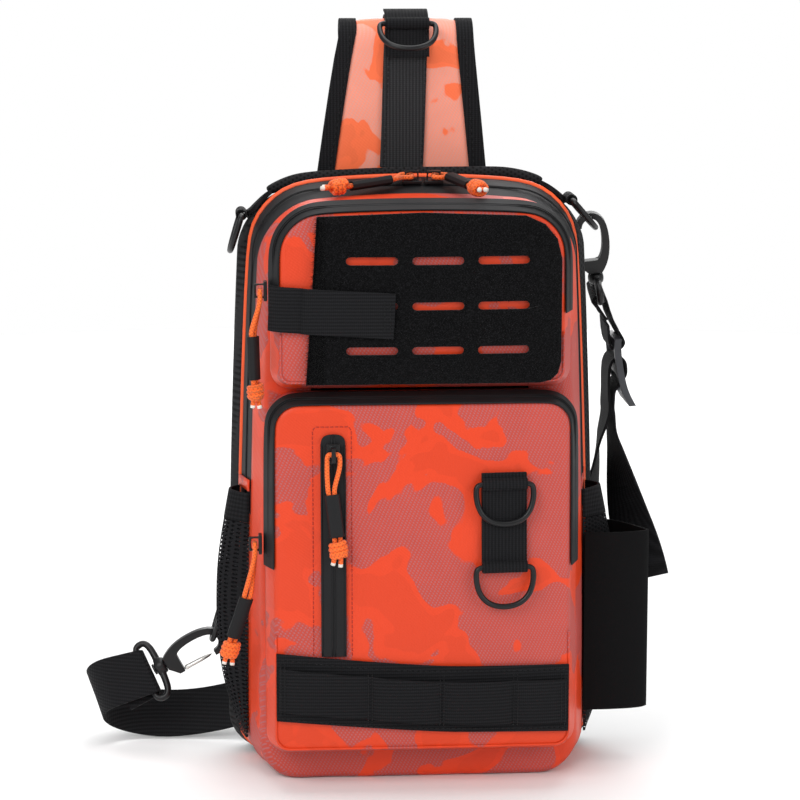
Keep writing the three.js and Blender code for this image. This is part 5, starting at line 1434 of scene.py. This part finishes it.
@dataclass
class FrontTrim:
    """Loop panel, tab, webbing band and centre zip on the pockets.

    Attributes:
        tacks: places along the band where it is tacked down.
        band_z: height of the band's middle where it is level.
        band_reach: how far its rows run from the bag's middle.
        edge_row: distance of its edge rows from its middle.
        tack_row: half the length of a tack.
        tab_rows: places of the rows that close the tab.
        panel_from: lower left corner of the loop panel's field of fibres.
        panel_size: size of that field.
        zip_x: middle of the centre zip.
        zip_top: top of the centre zip.
        zip_low: its foot, behind the band.
    """

    tacks: tuple[float, ...] = (-78.5, -30.0, 10.0, 51.5, 78.5)
    band_z: float = 54.5
    band_reach: int = 80
    edge_row: float = 17.0
    tack_row: float = 15.0
    tab_rows: Pair = (-18.5, -21.5)
    panel_from: Pair = (-64.0, 231.5)
    panel_size: Pair = (140.0, 95.5)
    zip_x: float = -50.0
    zip_top: float = 205.5
    zip_low: float = 80.1

    def build(self) -> dict[str, bpy.types.Object]:
        """Builds the pieces of the trim."""
        rows = (
            Recipe("loop_panel", LOOP_PILE, "loop_black", edge=0.4, levels=0),
            Recipe("panel_tab", BAND_WEB, "webbing_black", edge=0.3, levels=2),
            Recipe("wide_band", BAND_WEB, "webbing_black", edge=0.3, levels=1),
            Recipe("band_webbing", BAND_WEB, "webbing_black", edge=0.3, levels=2),
            Recipe("centre_zip", ZIP_TAPE, "zip_black", edge=0.25, levels=1),
            Recipe("ring_webbing", UPRIGHT_WEB, "webbing_black", edge=0.3, levels=1),
        )
        return {row.node: row.make() for row in rows}

    def sew(self, made: dict[str, bpy.types.Object], lower: bpy.types.Object) -> None:
        """Sews the band's tacks, the tab's end and the line round the centre zip."""
        black = Needle("front_black_thread", BLACK_THREAD, "webbing_black", 0.6)
        band = Looker([made["band_webbing"], made["wide_band"]], (0.0, 1.0, 0.0))
        for x in self.tacks:
            middle = self.band_z + self.band_rise(x)
            for shift in (-1.1, 1.1):
                ends = [mm(x + shift, 0, middle + rise) for rise in (-self.tack_row, self.tack_row)]
                black.row(band.trace(ends, 1.5), 0.8)
        for offset in (-self.edge_row, self.edge_row):
            columns = range(-self.band_reach, self.band_reach + 1, 4)
            path = [mm(x, 0, self.band_z + offset + self.band_rise(x)) for x in columns]
            black.row(band.trace(path, 3.0))
        tab = Looker([made["panel_tab"]], (0.0, 1.0, 0.0))
        for x in self.tab_rows:
            black.row(tab.trace([mm(x, 0, 262), mm(x, 0, 279)], 2.4))
        black.done()
        red = Needle("centre_zip_thread", RED_THREAD, "coated_orange", 0.6)
        cloth = Looker([lower], (0.0, 1.0, 0.0))
        left, right, top, turn = self.zip_x - 11.2, self.zip_x + 10.2, self.zip_top + 3.6, 1.5
        line = [
            (left, self.zip_low), (left, top - turn), (left + turn, top),
            (right - turn, top), (right, top - turn), (right, self.zip_low),
        ]
        red.row(cloth.trace([mm(x, 0, z) for x, z in line], 2.6))
        red.done()
        self.lips(made["centre_zip"])
        self.pile_edge(made["loop_panel"])

    def band_rise(self, x: float) -> float:
        """How far the band's middle rises or falls at x."""
        if x < 12:
            return 7.0 * clamp((12 - x) / 94) ** 1.6
        return -1.8 * clamp((x - 12) / 70)

    def lips(self, tape: bpy.types.Object) -> None:
        """Lays the two lips of the centre zip, and the seams of its tape."""
        looker = Looker([tape], (0.0, 1.0, 0.0))
        bm = bmesh.new()
        for shift, radius in ((-0.75, 0.4), (0.75, 0.4), (-6.3, 0.45), (6.3, 0.45)):
            x = self.zip_x + shift
            hits = looker.trace([mm(x, 0, self.zip_low + 0.5), mm(x, 0, self.zip_top - 0.8)], 5.0)
            tube(bm, [place + up * 0.1 * MM for place, up in hits], radius, 6)
        show("centre_zip_lips", bm, ZIP_LIP, "zip_black")

    def pile_edge(self, panel: bpy.types.Object) -> None:
        """Scatters short curled fibres over the loop panel, a third of them along its left edge."""
        looker = Looker([panel], (0.0, 1.0, 0.0))
        noise.seed_set(FIBRE_SEED)
        bm = bmesh.new()
        (left, low), (wide, high) = self.panel_from, self.panel_size
        for i in range(FIBRES):
            x = left + (EDGE_FIELD if i % 3 == 0 else wide) * ((i * SPREAD_X) % 1)
            z = low + high * ((i * SPREAD_Z) % 1)
            hit = looker.at(mm(x, 0, z))
            if not hit:
                continue
            place, up = hit
            lean = noise.noise_vector(Vector((x * 3.7, z * 3.1, i * 0.13)))
            if not looker.at(mm(x - 1.6, 0, z)):
                lean = Vector((lean.x * 0.6 - 1.5, lean.y, lean.z * 1.4))
            tip = place + (up * 0.9 + lean * 0.9) * MM
            bend = place + (up * 0.7 + lean * 0.1) * MM
            side = (tip - place).cross(up).normalized() * 0.11 * MM
            corners = [bm.verts.new(p) for p in (place - side, place + side, bend + side, tip, bend - side)]
            bm.faces.new(corners)
        show("loop_pile_fibres", bm, LOOP_PILE, "loop_black")


# Hardware


@dataclass
class Hardware:
    """D-rings, snap hooks and the ladder lock."""

    moving: tuple[str, ...] = ("ring_front_upper", "ring_front_lower", "ring_left_upper")
    fixed: tuple[str, ...] = ("ring_right_upper", "ring_left_lower", "strap_ring")

    def build(self) -> None:
        """Builds the rings, hooks, gates and the lock."""
        for name in (*self.moving, *self.fixed):
            body = name if name in self.moving else BAG
            ring = Recipe(name, PLASTIC, "hardware_black", edge=0.0, levels=2, body=body, swell=0.16)
            ring.make("moulding")
        for side in ("left", "right"):
            hook = f"hook_{side}"
            gate = f"gate_{side}"
            Recipe(f"{hook}_body", PLASTIC, "hardware_black", edge=0.7, levels=1).make("moulding")
            Recipe(f"{hook}_ring", PLASTIC, "hardware_black", edge=0.0, levels=2, swell=0.2).make("moulding")
            Recipe(f"{hook}_gate", STEEL, "steel", edge=0.0, levels=1, body=gate, swell=0.1).make("bar")
        Recipe("ladder_lock", GREY_PLASTIC, "buckle_grey", edge=0.7, levels=1).make("moulding")


# Strap and handle


@dataclass
class Sling:
    """The shoulder strap that folds over at the top, its trim and ring, and the carry handle.

    Attributes:
        handle_bend: distance from the middle where the handle's ends begin to turn down.
        middle_low: x of the strap's middle at its foot.
        middle_shift: how far its middle has moved over at its top.
        binding_row: how far in from its edge the binding is sewn.
        webbing_row: distance of the webbing's rows from its middle.
    """

    handle_bend: float = 70.0
    middle_low: float = -5.2
    middle_shift: float = 3.4
    binding_row: float = 5.2
    webbing_row: float = 10.8

    def build(self) -> None:
        strap = Recipe("shoulder_strap", STRAP_SHEEN_COATED, "coated_orange", edge=0.6, levels=2).make("pad")
        handle = Recipe("carry_handle", HANDLE_MESH, "mesh_black", edge=0.0, levels=2, swell=0.25).make("pad")
        for vert in handle.data.vertices:
            beyond = max(abs(vert.co.x) / MM - self.handle_bend, 0.0)
            vert.co += mm(math.copysign(0.4 * beyond, vert.co.x), 0, -0.03 * beyond * beyond)
        binding = Recipe("strap_binding", UPRIGHT_WEB, "webbing_black", edge=0.3, levels=1).make("tape")
        webbing = Recipe("strap_webbing", STRAP_WEB, "webbing_black", edge=0.3, levels=2).make("strip")
        tab = Recipe("strap_ring_tab", UPRIGHT_WEB, "webbing_black", edge=0.3, levels=1).make("strip")
        self.sew(binding, webbing, tab)

    def sew(self, binding: bpy.types.Object, webbing: bpy.types.Object, tab: bpy.types.Object) -> None:
        """Sews the binding's row and the webbing's two edge rows on the front run."""
        thread = Needle("strap_thread", BLACK_THREAD, "webbing_black", 0.6)
        for target, direction, y, low in ((binding, 1.0, 0.0, 322.0), (binding, -1.0, 0.0, 160.0)):
            looker = Looker([target], (0.0, direction, 0.0))
            for side in (-1, 1):
                path = []
                for i in range(20):
                    z = lerp(low, 418.0, i / 19)
                    half = self.half_width(z, direction > 0)
                    path.append(mm(self.middle_x(z) + side * (half - self.binding_row), y, z))
                thread.row(looker.trace(path, 3.4))
        looker = Looker([webbing, tab], (0.0, 1.0, 0.0))
        for side in (-1, 1):
            path = [mm(self.middle_x(z) + side * self.webbing_row, 0, z) for z in range(338, 425, 6)]
            thread.row(looker.trace(path, 3.0))
        thread.done()

    def middle_x(self, z: float) -> float:
        """The x of the strap's middle at a height."""
        return self.middle_low + self.middle_shift * smooth(z, 318, 412)

    def half_width(self, z: float, front: bool) -> float:
        """Half the strap's width at a height of its front or rear run."""
        if front:
            return 50 * lerp(1.0, 0.765, clamp((z - 318) / 94))
        return 50 * lerp(0.5, 0.73, clamp((z - 165) / 247))


# Sides


SLING_WIDTH = 30.0
SLING_WALL = 1.6


@dataclass
class Sides:
    """Mesh pockets with their elastics and trims, the side loop, webbings and ring tabs."""

    def build(self) -> None:
        for side in ("left", "right"):
            pocket = Recipe(f"mesh_pocket_{side}", SIDE_MESH, "mesh_black", edge=0.2, levels=2).make("mesh")
            Recipe(f"elastic_{side}", ELASTIC, "webbing_black", edge=0.3, levels=2).make("tape")
            self.trim(side)
        loop = Recipe("side_loop", SIDE_CLOTH, "webbing_black", edge=0.3, levels=2).make("cloth")
        self.straps()
        for name in ("ring_tab_left_lower", "ring_tab_left_upper", "ring_tab_right_upper"):
            Recipe(name, SIDE_WEB, "webbing_black", edge=0.3, levels=1).make("strip")

    def straps(self) -> None:
        """Builds the two loose webbings and the short one in the right hook."""
        left = Recipe("webbing_left", BAND_WEB, "webbing_black", edge=0.25, levels=1).make("strip")
        right = Recipe("webbing_right", SIDE_WEB, "webbing_black", edge=0.25, levels=1).make("strip")
        Recipe("webbing_hook_right", SIDE_WEB, "webbing_black", edge=0.25, levels=1).make("strip")
        for piece, held in ((left, "laid"), (right, "hung")):
            area = sum(polygon.area for polygon in piece.data.polygons)
            length = area / 2 / ((SLING_WIDTH + SLING_WALL) * MM)
            LOG.info("%s is %.0f mm long", piece.name, length / MM)

    def trim(self, side: str) -> None:
        """Lays the coated strip that closes the side above the elastic."""
        sign = -1 if side == "left" else 1

        def at(u: float, v: float) -> Vector:
            y = lerp(-11.2, 15.4, u)
            z = lerp(162.6, 169.0, v) + sign * 1.5 * (u - 0.5)
            return mm(sign * (body_outline(y).half_width(z) + 0.5), y, z)

        show(f"side_trim_{side}", strip_between(8, 3, at, 1.0), COATED, "coated_orange")


def main() -> None:
    """Builds the bag in order, and reports each part of it."""
    logging.basicConfig(level=logging.INFO, format="%(name)s: %(message)s", force=True)
    studio = Studio()
    studio.camera()
    ZipPulls().build()
    studio.floor()
    studio.lights()
    body = Body()
    body.build()
    body.trim()
    upper = Pocket("upper", UPPER, FRONT_Y - 18, 6.0, 1.0)
    lower = Pocket("lower", LOWER, FRONT_Y - 23, 8.0, 0.8)
    upper.build()
    lower_cloth = lower.build()
    upper.zip_tape(270.0)
    lower.zip_tape(129.0)
    upper.seams()
    lower.seams()
    trim = FrontTrim()
    made = trim.build()
    trim.sew(made, lower_cloth)
    Hardware().build()
    Sling().build()
    Sides().build()
    bpy.context.scene.view_settings.view_transform = "Standard"


if __name__ == "__main__":
    main()
